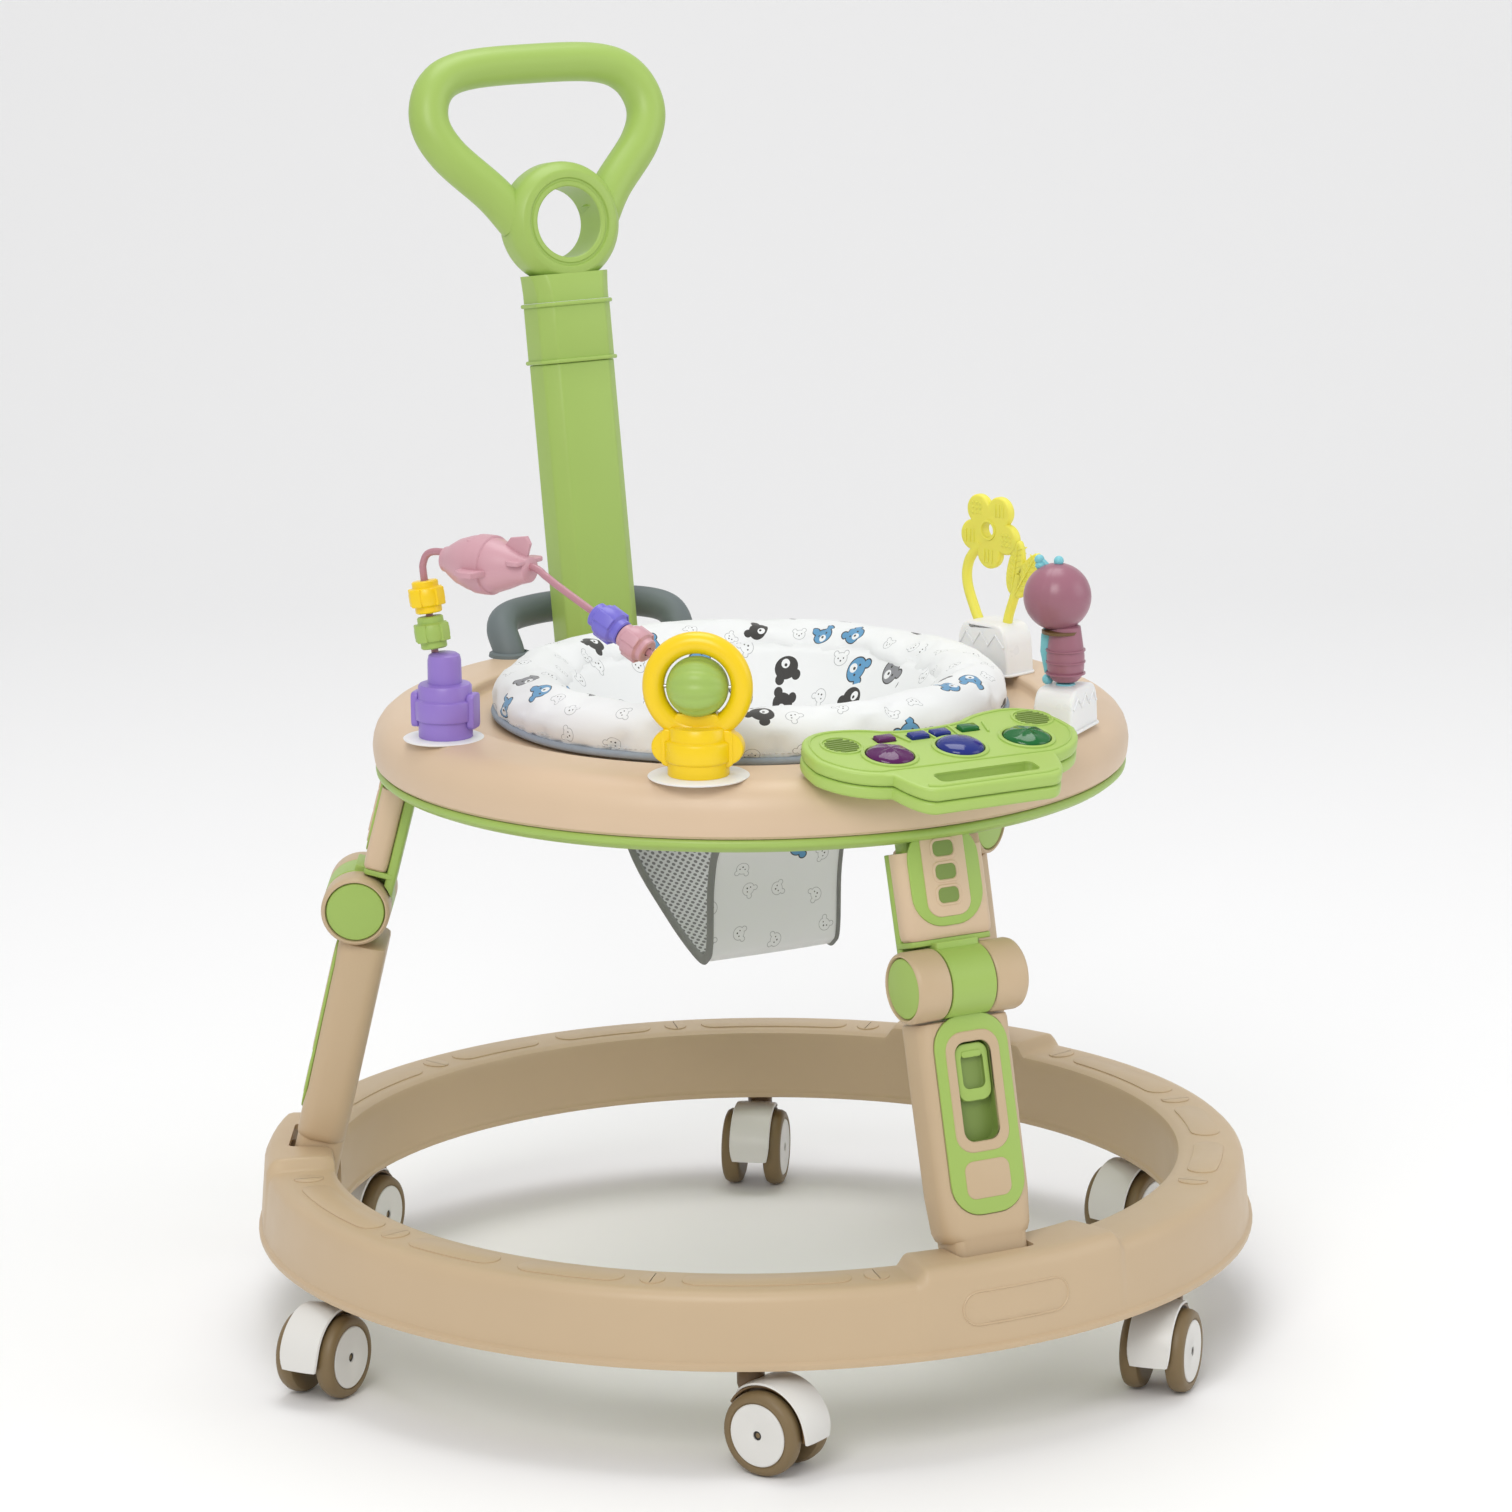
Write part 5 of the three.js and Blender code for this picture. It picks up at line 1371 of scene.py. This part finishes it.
def make_piano():
    place = at(RING_X + 5.5, -249, TRAY_TOP - 1.1, rx=10.5)
    outline = piano_outline()
    slot = rounded(76, 15, 5, 6, 0, -52)
    lower = Part().slab(outline, 0.3, 9.1, None, "paper", 2.6, 4)
    upper = Part().slab(outline, 9.7, 18.6, None, "paper", 2.4, 4)
    lower.carve(Part().slab(slot, -5, 30, None, "paper", 0.1))
    holes = [Part().slab(slot, -5, 30, None, "paper", 0.1)]
    well = [(0, 8), (16.6, 8), (16.6, 30), (0, 30)]
    for x, y in DOMES.values():
        holes.append(Part().turned(well, 48, at(x, y, 0), "paper"))
    for x, y, _ in KEYS.values():
        holes.append(Part().box(14.8, 9.8, 22, at(x, y, 19), "paper", 0.1, 1))
    upper.carve(*holes)
    # A darkened lime sheet in the gap between the case halves: painted shade.
    upper.slab(inset(outline, 2.4), 8.9, 10.2, None, "lime_dark", 0.2)
    upper.carve(Part().slab(inset(slot, -0.4), -5, 17, None, "paper", 0.1))
    rim = inset(piano_outline(False), 4.2)
    upper.frame(rim, inset(rim, 1.4), 17.8, 19.5, None, "paper", 0.5)
    collar = [(16.7, 17.6), (19.6, 17.6), (19.2, 19.6), (18.2, 20.2), (16.7, 19.8)]
    for x, y in DOMES.values():
        upper.turned(collar, 48, at(x, y, 0), "paper")
    grille = [(12.6, 17.8), (14.8, 17.8), (14.2, 19.5), (13.0, 19.5)]
    for x, y in ((-70, 16), (79, 20)):
        upper.turned(grille, 40, at(x, y, 0), "paper")
        for k in range(-3, 4):
            half = math.sqrt(max(0.1, 11.4**2 - (k * 3.2) ** 2))
            # Darkened lime bars stand for the grille's slots: painted shade.
            upper.box(2 * half, 1.4, 1.4, at(x, y + k * 3.2, 18.8), "lime_dark", 0.3, 0.6)
    for x in (-25, -4.2, 15.5, 40):
        upper.box(1.6, 17, 1.8, at(x, 16, 19.0, rz=(x - 8) * -0.5), "paper", 0.5, 0.7)
    handle = [(-50, -62.0), (-42, -64.6), (38, -64.6), (48, -62.0)]
    upper.tube([(x, y, 18.4) for x, y in handle], 1.5, 10, None, "paper")
    lower.finish("piano_lower_look", "tray", place, ["piano_case_bottom"], "piano_lime", 34)
    upper.finish("piano_upper_look", "tray", place, ["piano_case_top"], "piano_lime", 34)
    for name, (x, y) in DOMES.items():
        dome = Part().loft(dome_rings(0.0 if name == "blue" else 0.7), None, "gem_" + name)
        dome.finish(
            "dome_look_" + name, "dome_" + name, place @ at(x, y, 0),
            ["piano_dome_" + name], "button_" + name, 60,
        )
    for name, (x, y, look) in KEYS.items():
        key = Part().box(13.8, 8.8, 8.4, at(x, y, 16.9), look, 1.2, 1.6)
        key.finish(
            "key_look_" + name, "key_" + name, place,
            ["piano_key_" + name], "button_" + look.split("_")[1], 50,
        )


# ------------------------------------------------------------------ bead arch
ARCH_START, ARCH_END = polar(231.5, 178), polar(233, 232.3)
ARCH_SPAN = math.dist(ARCH_START, ARCH_END)
ARCH_TURN = math.degrees(math.atan2(ARCH_END[1] - ARCH_START[1], ARCH_END[0] - ARCH_START[0]))
ARCH_RISE = 127.0
MAST = ((-5.0, 40.0), (-16.0, 108.0))
GLIDE = ((100.0, ARCH_RISE - 14), (ARCH_SPAN - 31, 73.0))


def on_mast(z):
    share = (z - MAST[0][1]) / (MAST[1][1] - MAST[0][1])
    return MAST[0][0] + share * (MAST[1][0] - MAST[0][0]), z


def on_glide(u):
    share = (u - GLIDE[0][0]) / (GLIDE[1][0] - GLIDE[0][0])
    return u, GLIDE[0][1] + share * (GLIDE[1][1] - GLIDE[0][1])


def lug_bead(part, radius, length, look, trim):
    """A bead with a round middle, two collars and small flat lugs."""
    h = length / 2
    collar, edge = (radius * 0.74, h * 0.62), (radius * 0.92, h * 0.5)
    lower = [(3.2, -h), (radius * 0.66, -h), (radius * 0.74, -h + 0.8)]
    lower += [(collar[0], -collar[1]), (edge[0], -edge[1]), (radius, -h * 0.22)]
    upper = [(r, -z) for r, z in reversed(lower)]
    part.turned(lower + upper, 40, None, look)
    for k in range(trim):
        turn = 360 / trim * k
        part.box(2.4, radius * 0.7, h * 1.1, at(rz=turn) @ at(radius * 0.93, 0, 0), look, 0.8, 0.9)


def make_arch():
    place = at(RING_X + ARCH_START[0], ARCH_START[1], TRAY_TOP + 0.3, rz=ARCH_TURN)
    line = [
        MAST[0], (-10.6, 74), MAST[1], (-16.2, 118), (-10.5, 125.4), (5, ARCH_RISE),
        (40, ARCH_RISE - 1.1), (76, ARCH_RISE - 2.4), (88, ARCH_RISE - 7.6),
        GLIDE[0], on_glide(142), GLIDE[1],
    ]
    wire = Part().tube(smooth_path([(u, 0, z) for u, z in line], 8), 2.5, 14, None, "wire")
    wire.finish("arch_wire_look", "tray", place, ["arch_wire"], "wire_pink", 60)
    profile = [
        (0, 0), (17.6, 0), (18.4, 0.8), (18.4, 12), (20.2, 13), (20.6, 14), (20.6, 25),
        (20.2, 26), (18.4, 27), (18.2, 35.4), (17.2, 36.8), (11.6, 37.6), (11.4, 53),
        (10.6, 56.4), (8.6, 57.8), (0, 58),
    ]
    base = Part().turned(profile, 56, None, "purple")
    for turn in (200, 20):
        spot = at(0, 0, 19) @ at(rz=turn) @ face_on(17.2, 0)
        base.slab(rounded(15, 24, 3.5, 5), 0, 5.2, spot, "purple", 1.0)
    base.finish("arch_base_look", "tray", place, ["arch_base"], "toy_purple")
    lean = math.degrees(math.atan2(MAST[1][0] - MAST[0][0], MAST[1][1] - MAST[0][1]))
    fall = math.degrees(math.atan2(GLIDE[0][1] - GLIDE[1][1], GLIDE[1][0] - GLIDE[0][0]))
    beads = (
        ("bead_green", on_mast(71), lean, 12.8, 22, "lime", 4),
        ("bead_yellow", on_mast(95), lean, 13, 22, "yellow", 4),
        ("bead_violet", on_glide(140.4), 90 + fall, 12.3, 25, "violet", 3),
        ("bead_pink", on_glide(162), 90 + fall, 11.8, 22, "pink", 3),
    )
    for name, (u, z), turn, radius, length, look, trim in beads:
        part = Part()
        lug_bead(part, radius * 0.94, length, look, trim)
        slot_name = {"lime": "lime_plastic"}.get(look, "toy_" + look)
        part.finish(name + "_look", name, place @ at(u, 0, z, ry=turn), [name], slot_name)
    make_plane(place)


def make_plane(place):
    """The toy plane: a fat body with a raised band, wings, a fin and a tail."""
    spot = place @ at(40, 0, ARCH_RISE - 1.1, ry=-90)
    part = Part()
    profile = [
        (0, -36), (6.5, -36), (8.6, -35), (10.6, -28), (14.8, -18), (18.2, -8), (19.3, 2),
        (18.6, 12), (15.6, 22), (11.8, 29), (9.2, 33), (8.6, 36), (6.5, 36.6), (0, 36.6),
    ]
    band = [(18.6, -5), (20.0, -4.4), (20.2, 0), (20.0, 6.4), (18.8, 7)]
    for outline in (profile, band):
        part.turned(outline, 48, at(-3.5, 0, 0), "pink")
    for side in (-1, 1):
        wing = [(-16, 0), (-13, 14), (-6, 17.5), (2, 16), (5, 0)]
        outline = [(x, y * side) for x, y in (wing if side < 0 else wing[::-1])]
        part.slab(outline, -2.2, 2.2, at(-6, side * 14, -6) @ at(ry=90), "pink", 1.0)
    fin = [(-4, -30), (14, -36), (19, -33), (17, -20), (8, -12), (-4, -12)]
    part.slab(fin, -1.8, 1.8, at(rx=90), "pink", 0.9)
    part.slab(rounded(30, 11, 3, 4), -1.6, 1.6, at(2, 0, -30) @ at(ry=90) @ at(rz=90), "pink", 0.8)
    for k in range(3):
        part.ball(2.2, at(12.6, (k - 1) * 7.5, 12 - abs(k - 1) * 2), "pink", (0.6, 1, 1), 8, 12)
    part.finish("plane_look", "plane", spot, ["toy_plane"], "toy_pink")


def make_hoop():
    place = at(RING_X + ARCH_END[0], ARCH_END[1], TRAY_TOP + 0.3, rz=322.3)
    part = Part()
    profile = [
        (0, 0), (19.6, 0), (20.4, 0.8), (20.4, 9.4), (22.0, 10.6), (22.4, 11.6), (22.4, 22.4),
        (22.0, 23.4), (19.8, 24.6), (19.4, 31.8), (18.4, 33), (0, 33.2),
    ]
    part.turned(profile, 64, None, "yellow")
    part.slab(rounded(61, 22, 10.9, 8, 0, 19), -6, 6, at(rx=90), "yellow", 1.6)
    part.slab(rounded(48, 25, 4, 5, 0, 19), -6.8, 6.8, at(rx=90), "yellow", 1.2)
    part.slab(rounded(30, 18, 4, 5, 0, 33), -6.4, 6.4, at(rx=90), "yellow", 1.2)
    turns = [k * math.pi / 12 for k in range(24)]
    ring = [(29.3 + 7.3 * math.cos(a), 7.3 * math.sin(a)) for a in turns]
    part.turned(ring, 96, at(0, 0, 59, rx=90), "yellow")
    part.finish("hoop_look", "tray", place, ["hoop_stand"], "toy_yellow", 40)
    ball = Part()
    rows, sides = 28, 72
    rings = []
    for k in range(1, rows):
        t = math.pi * k / rows
        line = []
        for i in range(sides):
            a = 2 * math.pi * i / sides
            rib = 1.0 - 0.055 * abs(math.sin(a * 6)) ** 6 * math.sin(t)
            r = 20.4 * math.sin(t) * rib
            line.append((20.6 * math.cos(t), r * math.cos(a), r * math.sin(a)))
        rings.append(line)
    ball.loft(rings, None, "lime")
    ball.turned([(0, -25), (1.4, -25), (1.4, 25), (0, 25)], 14, at(ry=90), "steel")
    ball.finish("ball_look", "ball", place @ at(0, 0, 59), ["spinner_ball"], "lime_plastic", 60)


# ------------------------------------------------------------------ flower and bug
def toy_block(part, width, depth, height):
    """A white block with a round top and a stepped mountain line on its faces."""
    w, h = width / 2, height
    outline = [(-w, 0), (w, 0)]
    outline += bezier((w - 1.5, h * 0.6), (w - 3, h), (w - 14, h)) + [(w - 14, h), (14 - w, h)]
    outline += bezier((14 - w, h), (3 - w, h), (1.5 - w, h * 0.6)) + [(1.5 - w, h * 0.6)]
    part.slab(outline, -depth / 2, depth / 2, at(rx=90), "white", 2.4, 4)
    peaks = [
        (-w + 4, h * 0.55), (-w + 10, h * 0.8), (-w + 17, h * 0.56), (-w + 24, h * 0.82),
        (-w + 31, h * 0.56), (-w + 38, h * 0.8), (w - 4, h * 0.56),
    ]
    for side in (-1, 1):
        part.tube([(x, side * (depth / 2 - 0.1), z) for x, z in peaks], 1.0, 8, None, "white")
    part.slab(rounded(width + 4, depth + 4, 7, 6), -0.1, 1.8, None, "white", 0.8)


def make_flower():
    h, up = 36.5, 100.8
    place = at(RING_X + 198.5, -2, TRAY_TOP + 0.3, rz=285)
    base = Part()
    toy_block(base, 50, 28, h)
    base.finish("flower_base_look", "tray", place, ["flower_base"], "toy_white", 34)
    part = Part()
    stalk = smooth_path(
        [
            (-12, 0, h - 8), (-19, 0, h + 4), (-27, 0, h + 24), (-25, 0, h + 40),
            (-13, 0, up - 10),
        ],
        6,
    )
    part.tube(stalk, 3.7, 16, None, "pale")
    other = smooth_path([(11, 0, h - 8), (13, 0, h + 4), (19, 0, h + 20), (24, 0, h + 36)], 6)
    part.tube(other, 3.5, 16, None, "pale")
    petals = []
    for i in range(120):
        a = 2 * math.pi * i / 120
        off = (a + math.pi / 5) % (2 * math.pi / 5) - math.pi / 5
        r = 16.8 * math.cos(off) + math.sqrt(121 - (16.8 * math.sin(off)) ** 2)
        petals.append((r * math.sin(a) - 4, up - r * math.cos(a)))
    area = sum(p[0] * q[1] - q[0] * p[1] for p, q in zip(petals, petals[1:] + petals[:1]))
    petals = petals if area > 0 else petals[::-1]
    part.slab(petals, -3.2, 3.2, at(rx=90), "pale", 2.0, 4)
    part.carve(Part().turned([(0, -9), (5, -9), (5, 9), (0, 9)], 32, at(-4, 0, up, rx=90), "pale"))
    for side in (-1, 1):
        collar = [(5.2, 2.6), (7.6, 2.6), (7.2, 4.2), (5.8, 4.2)]
        part.turned(collar, 32, at(-4, 0, up, rx=90 * side), "pale")
    for k in range(5):
        a = 2 * math.pi * k / 5
        cx, cz = 18.5 * math.sin(a) - 4, up - 18.5 * math.cos(a)
        for side in (-1, 1):
            for m in range(-1, 2):
                for q in range(-1, 2):
                    spot = at(cx + m * 3.6, side * 3.1, cz + q * 3.6)
                    if k % 2:
                        part.ball(1.2, spot, "pale", (1, 0.8, 1), 6, 8)
                    elif q == 0:
                        part.box(1.4, 1.8, 9.5, spot, "pale", 0.5, 0.5)
    for tilt, x, z in ((10, 21, h + 40), (34, 31, h + 36)):
        leaf = []
        for i in range(40):
            a = 2 * math.pi * i / 40
            leaf.append((7.6 * math.cos(a) * (1 - 0.25 * math.sin(a)), 20 * math.sin(a)))
        spot = at(x, 0, z, ry=tilt) @ at(rx=90)
        part.slab(leaf, -2.5, 2.5, spot, "pale", 1.6, 4)
        for side in (-1, 1):
            rib = [(0, -17, side * 2.5), (0, 0, side * 2.7), (0, 17, side * 2.5)]
            part.tube(rib, 0.9, 8, spot, "pale")
            for m in range(-3, 4):
                for way in (-1, 1):
                    vein = [(0, m * 4.4, side * 2.5), (way * 4.4, m * 4.4 + 3, side * 2.4)]
                    part.tube(vein, 0.6, 6, spot, "pale")
    part.finish("flower_look", "tray", place, ["flower_stems"], "toy_pale_yellow", 40)


def make_bug():
    h, up = 30.0, 90.0
    place = at(RING_X + 138, -190, TRAY_TOP + 0.3, rz=216)
    base = Part()
    toy_block(base, 50, 28, h)
    base.turned([(3.4, h - 1), (7, h - 1), (6.4, h + 1), (3.4, h + 1.4)], 28, None, "teal")
    base.finish("bug_base_look", "tray", place, ["bug_base"], "toy_white", 34)
    bug = Part()
    rows, sides = 26, 64
    rings = []
    for k in range(1, rows):
        t = math.pi * k / rows
        line = []
        for i in range(sides):
            a = 2 * math.pi * i / sides
            r = 23 * math.sin(t)
            seam = 0.45 if i in (0, sides // 2) else 0.0
            line.append(((r - seam) * math.cos(a), (r - seam) * math.sin(a), -23 * math.cos(t)))
        rings.append(line)
    bug.loft(rings, at(0, -6, up), "mauve")
    trunk = [
        (0, h + 2.4), (8, h + 2.6), (10.6, h + 5), (12.6, h + 11), (12.9, h + 20),
        (11.6, h + 30), (10.2, up - 20), (0, up - 14),
    ]
    bug.turned(trunk, 44, None, "mauve")
    for z in (h + 8, h + 16, h + 24):
        ring = [(11.6, z - 0.9), (13.5, z - 0.5), (13.5, z + 0.5), (11.6, z + 0.9)]
        bug.turned(ring, 44, None, "mauve")
    collar = [(9.5, up - 25), (13.4, up - 24.6), (13.4, up - 22.6), (9.5, up - 22)]
    bug.turned(collar, 40, at(0, -3, 0), "fork")
    for side in (-1, 1):
        feeler = [(0, side * 3 - 9, up + 20), (0, side * 6.5 - 11.5, up + 25)]
        bug.tube(feeler, 1.7, 10, None, "teal")
        bug.ball(3.4, at(0, side * 7 - 12, up + 24.6), "teal", (1, 1, 1), 10, 16)
        bug.ball(3.9, at(0, side * 6 - 12, up + 20.5), "teal", (1, 1, 0.8), 10, 16)
    wing = [(0, -15), (3.5, -12), (6.5, -2), (6.5, 8), (3.5, 15), (0, 18), (-2.5, 12), (-3.2, 0)]
    bug.slab(wing, -3.0, 3.0, at(0, -14.5, h + 22) @ at(rz=90) @ at(rx=90), "teal", 1.4)
    bug.turned([(0, h - 6), (3, h - 6), (3, h + 3), (0, h + 3)], 20, None, "teal")
    bug.ball(3.8, at(0, -13, h + 2.6), "teal", (1, 1, 1), 10, 16)
    bug.finish("bug_look", "bug", place, ["toy_bug"], "toy_mauve", 40)


# ------------------------------------------------------------------ stage
AZIMUTH, ELEVATION, ROLL = -29.3, 12.6, -0.6  # the camera's
DISTANCE = 4.0  # from the camera to what it looks at, in metres
FOCAL_SHARE = 5753.5 / 1512  # focal length as a share of the film's width


def make_stage():
    scene = bpy.context.scene
    floor = Tree("pale_floor")
    floor.set("Base Color", (0.93, 0.93, 0.935, 1))
    floor.set("Roughness", 0.75)
    mesh = bpy.data.meshes.new("floor")
    steps, bend = 14, 1.6
    curve = [math.pi / 2 * k / steps for k in range(1, steps + 1)]
    line = [(-6.0, 0.0), (2.6, 0.0)]
    line += [(2.6 + bend * math.sin(t), bend - bend * math.cos(t)) for t in curve]
    line += [(4.2, 6.0)]
    turn = Matrix.Rotation(math.radians(AZIMUTH), 4, "Z")
    points = [turn @ Vector((x, y, z)) for y, z in line for x in (-6.0, 6.0)]
    faces = [(2 * i, 2 * i + 1, 2 * i + 3, 2 * i + 2) for i in range(len(line) - 1)]
    mesh.from_pydata(points, [], faces)
    mesh.materials.append(floor.material)
    for polygon in mesh.polygons:
        polygon.use_smooth = True
    ground = bpy.data.objects.new("floor", mesh)
    scene.collection.objects.link(ground)
    world = bpy.data.worlds.new("studio")
    scene.world = world
    world.use_nodes = True
    sky = world.node_tree.nodes["Background"]
    sky.inputs[0].default_value = (1.0, 1.0, 1.0, 1)
    sky.inputs[1].default_value = 0.62
    for name, place, target, size, power, tint in (
        ("key", (-2.2, -2.4, 3.0), (0, 0, 0.35), 1.9, 62, (1.0, 0.985, 0.96)),
        ("fill", (2.8, -2.2, 1.7), (0, 0, 0.4), 2.2, 20, (0.97, 0.985, 1.0)),
        ("top", (0.3, 0.6, 3.4), (0, 0, 0.3), 1.8, 34, (1.0, 1.0, 1.0)),
    ):
        data = bpy.data.lights.new(name, "AREA")
        data.size, data.energy, data.color = size, power, tint
        lamp = bpy.data.objects.new(name, data)
        lamp.location = place
        lamp.rotation_mode = "QUATERNION"
        lamp.rotation_quaternion = (Vector(target) - Vector(place)).to_track_quat("-Z", "Y")
        scene.collection.objects.link(lamp)
    a, e, roll = (math.radians(v) for v in (AZIMUTH, ELEVATION, ROLL))
    back = Vector((math.sin(a) * math.cos(e), -math.cos(a) * math.cos(e), math.sin(e)))
    right = Vector((math.cos(a), math.sin(a), 0))
    up = back.cross(right)
    side = right * math.cos(roll) + up * math.sin(roll)
    top = up * math.cos(roll) - right * math.sin(roll)
    target = right * 0.0036 + Vector((RING_X * MM, 0, 0.401))
    data = bpy.data.cameras.new("camera")
    data.lens = FOCAL_SHARE * 36
    data.clip_end = 50
    camera = bpy.data.objects.new("camera", data)
    turned = Matrix((side, top, back)).transposed().to_4x4()
    camera.matrix_world = Matrix.Translation(target + back * DISTANCE) @ turned
    scene.collection.objects.link(camera)
    scene.camera = camera
    scene.view_settings.view_transform = "Standard"


# ------------------------------------------------------------------ operators
class WALKER_OT_base(bpy.types.Operator):
    """Base ring and casters"""

    bl_idname = "walker.base"
    bl_label = "Base and casters"

    def execute(self, context):
        make_ring()
        for name, (turn, trail) in CASTERS.items():
            make_caster(name, turn, trail)
        return {"FINISHED"}


class WALKER_OT_legs(bpy.types.Operator):
    """The three jointed legs"""

    bl_idname = "walker.legs"
    bl_label = "Legs"

    def execute(self, context):
        shapes = lower_leg_shape()
        for name, turn in LEGS.items():
            make_leg(name, turn, shapes)
        return {"FINISHED"}


class WALKER_OT_tray(bpy.types.Operator):
    """Tray shells"""

    bl_idname = "walker.tray"
    bl_label = "Tray"

    def execute(self, context):
        make_tray()
        return {"FINISHED"}


class WALKER_OT_seat(bpy.types.Operator):
    """Padded rim, inner skirt and hanging strip"""

    bl_idname = "walker.seat"
    bl_label = "Seat"

    def execute(self, context):
        make_rim()
        make_skirt()
        make_sling()
        return {"FINISHED"}


class WALKER_OT_handle(bpy.types.Operator):
    """Push handle and rear rail"""

    bl_idname = "walker.handle"
    bl_label = "Handle and rail"

    def execute(self, context):
        make_handle()
        make_rail()
        return {"FINISHED"}


class WALKER_OT_toys(bpy.types.Operator):
    """Piano, bead arch, hoop, flower and bug"""

    bl_idname = "walker.toys"
    bl_label = "Toys"

    def execute(self, context):
        make_piano()
        make_arch()
        make_hoop()
        make_flower()
        make_bug()
        return {"FINISHED"}


class WALKER_OT_stage(bpy.types.Operator):
    """Floor, lights and camera"""

    bl_idname = "walker.stage"
    bl_label = "Stage"

    def execute(self, context):
        make_stage()
        return {"FINISHED"}


OPERATORS = (
    WALKER_OT_base, WALKER_OT_legs, WALKER_OT_tray, WALKER_OT_seat,
    WALKER_OT_handle, WALKER_OT_toys, WALKER_OT_stage,
)


class WALKER_PT_panel(bpy.types.Panel):
    """Sizes, colours and the steps that build the walker"""

    bl_label = "Baby walker"
    bl_space_type = "VIEW_3D"
    bl_region_type = "UI"
    bl_category = "Walker"

    def draw(self, context):
        column = self.layout.column()
        for group in (context.scene.walker_sizes, context.scene.walker_colours):
            for key in group.__annotations__:
                column.prop(group, key)
        for operator in OPERATORS:
            column.operator(operator.bl_idname)


CLASSES = (WalkerSizes, WalkerColours, *OPERATORS, WALKER_PT_panel)


def register():
    for made in CLASSES:
        bpy.utils.register_class(made)
    bpy.types.Scene.walker_sizes = bpy.props.PointerProperty(type=WalkerSizes)
    bpy.types.Scene.walker_colours = bpy.props.PointerProperty(type=WalkerColours)


def unregister():
    del bpy.types.Scene.walker_colours
    del bpy.types.Scene.walker_sizes
    for made in reversed(CLASSES):
        bpy.utils.unregister_class(made)


def main():
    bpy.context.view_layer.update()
    register()
    make_materials()
    for operator in OPERATORS:
        group, name = operator.bl_idname.split(".")
        getattr(getattr(bpy.ops, group), name)()


if __name__ == "__main__":
    main()
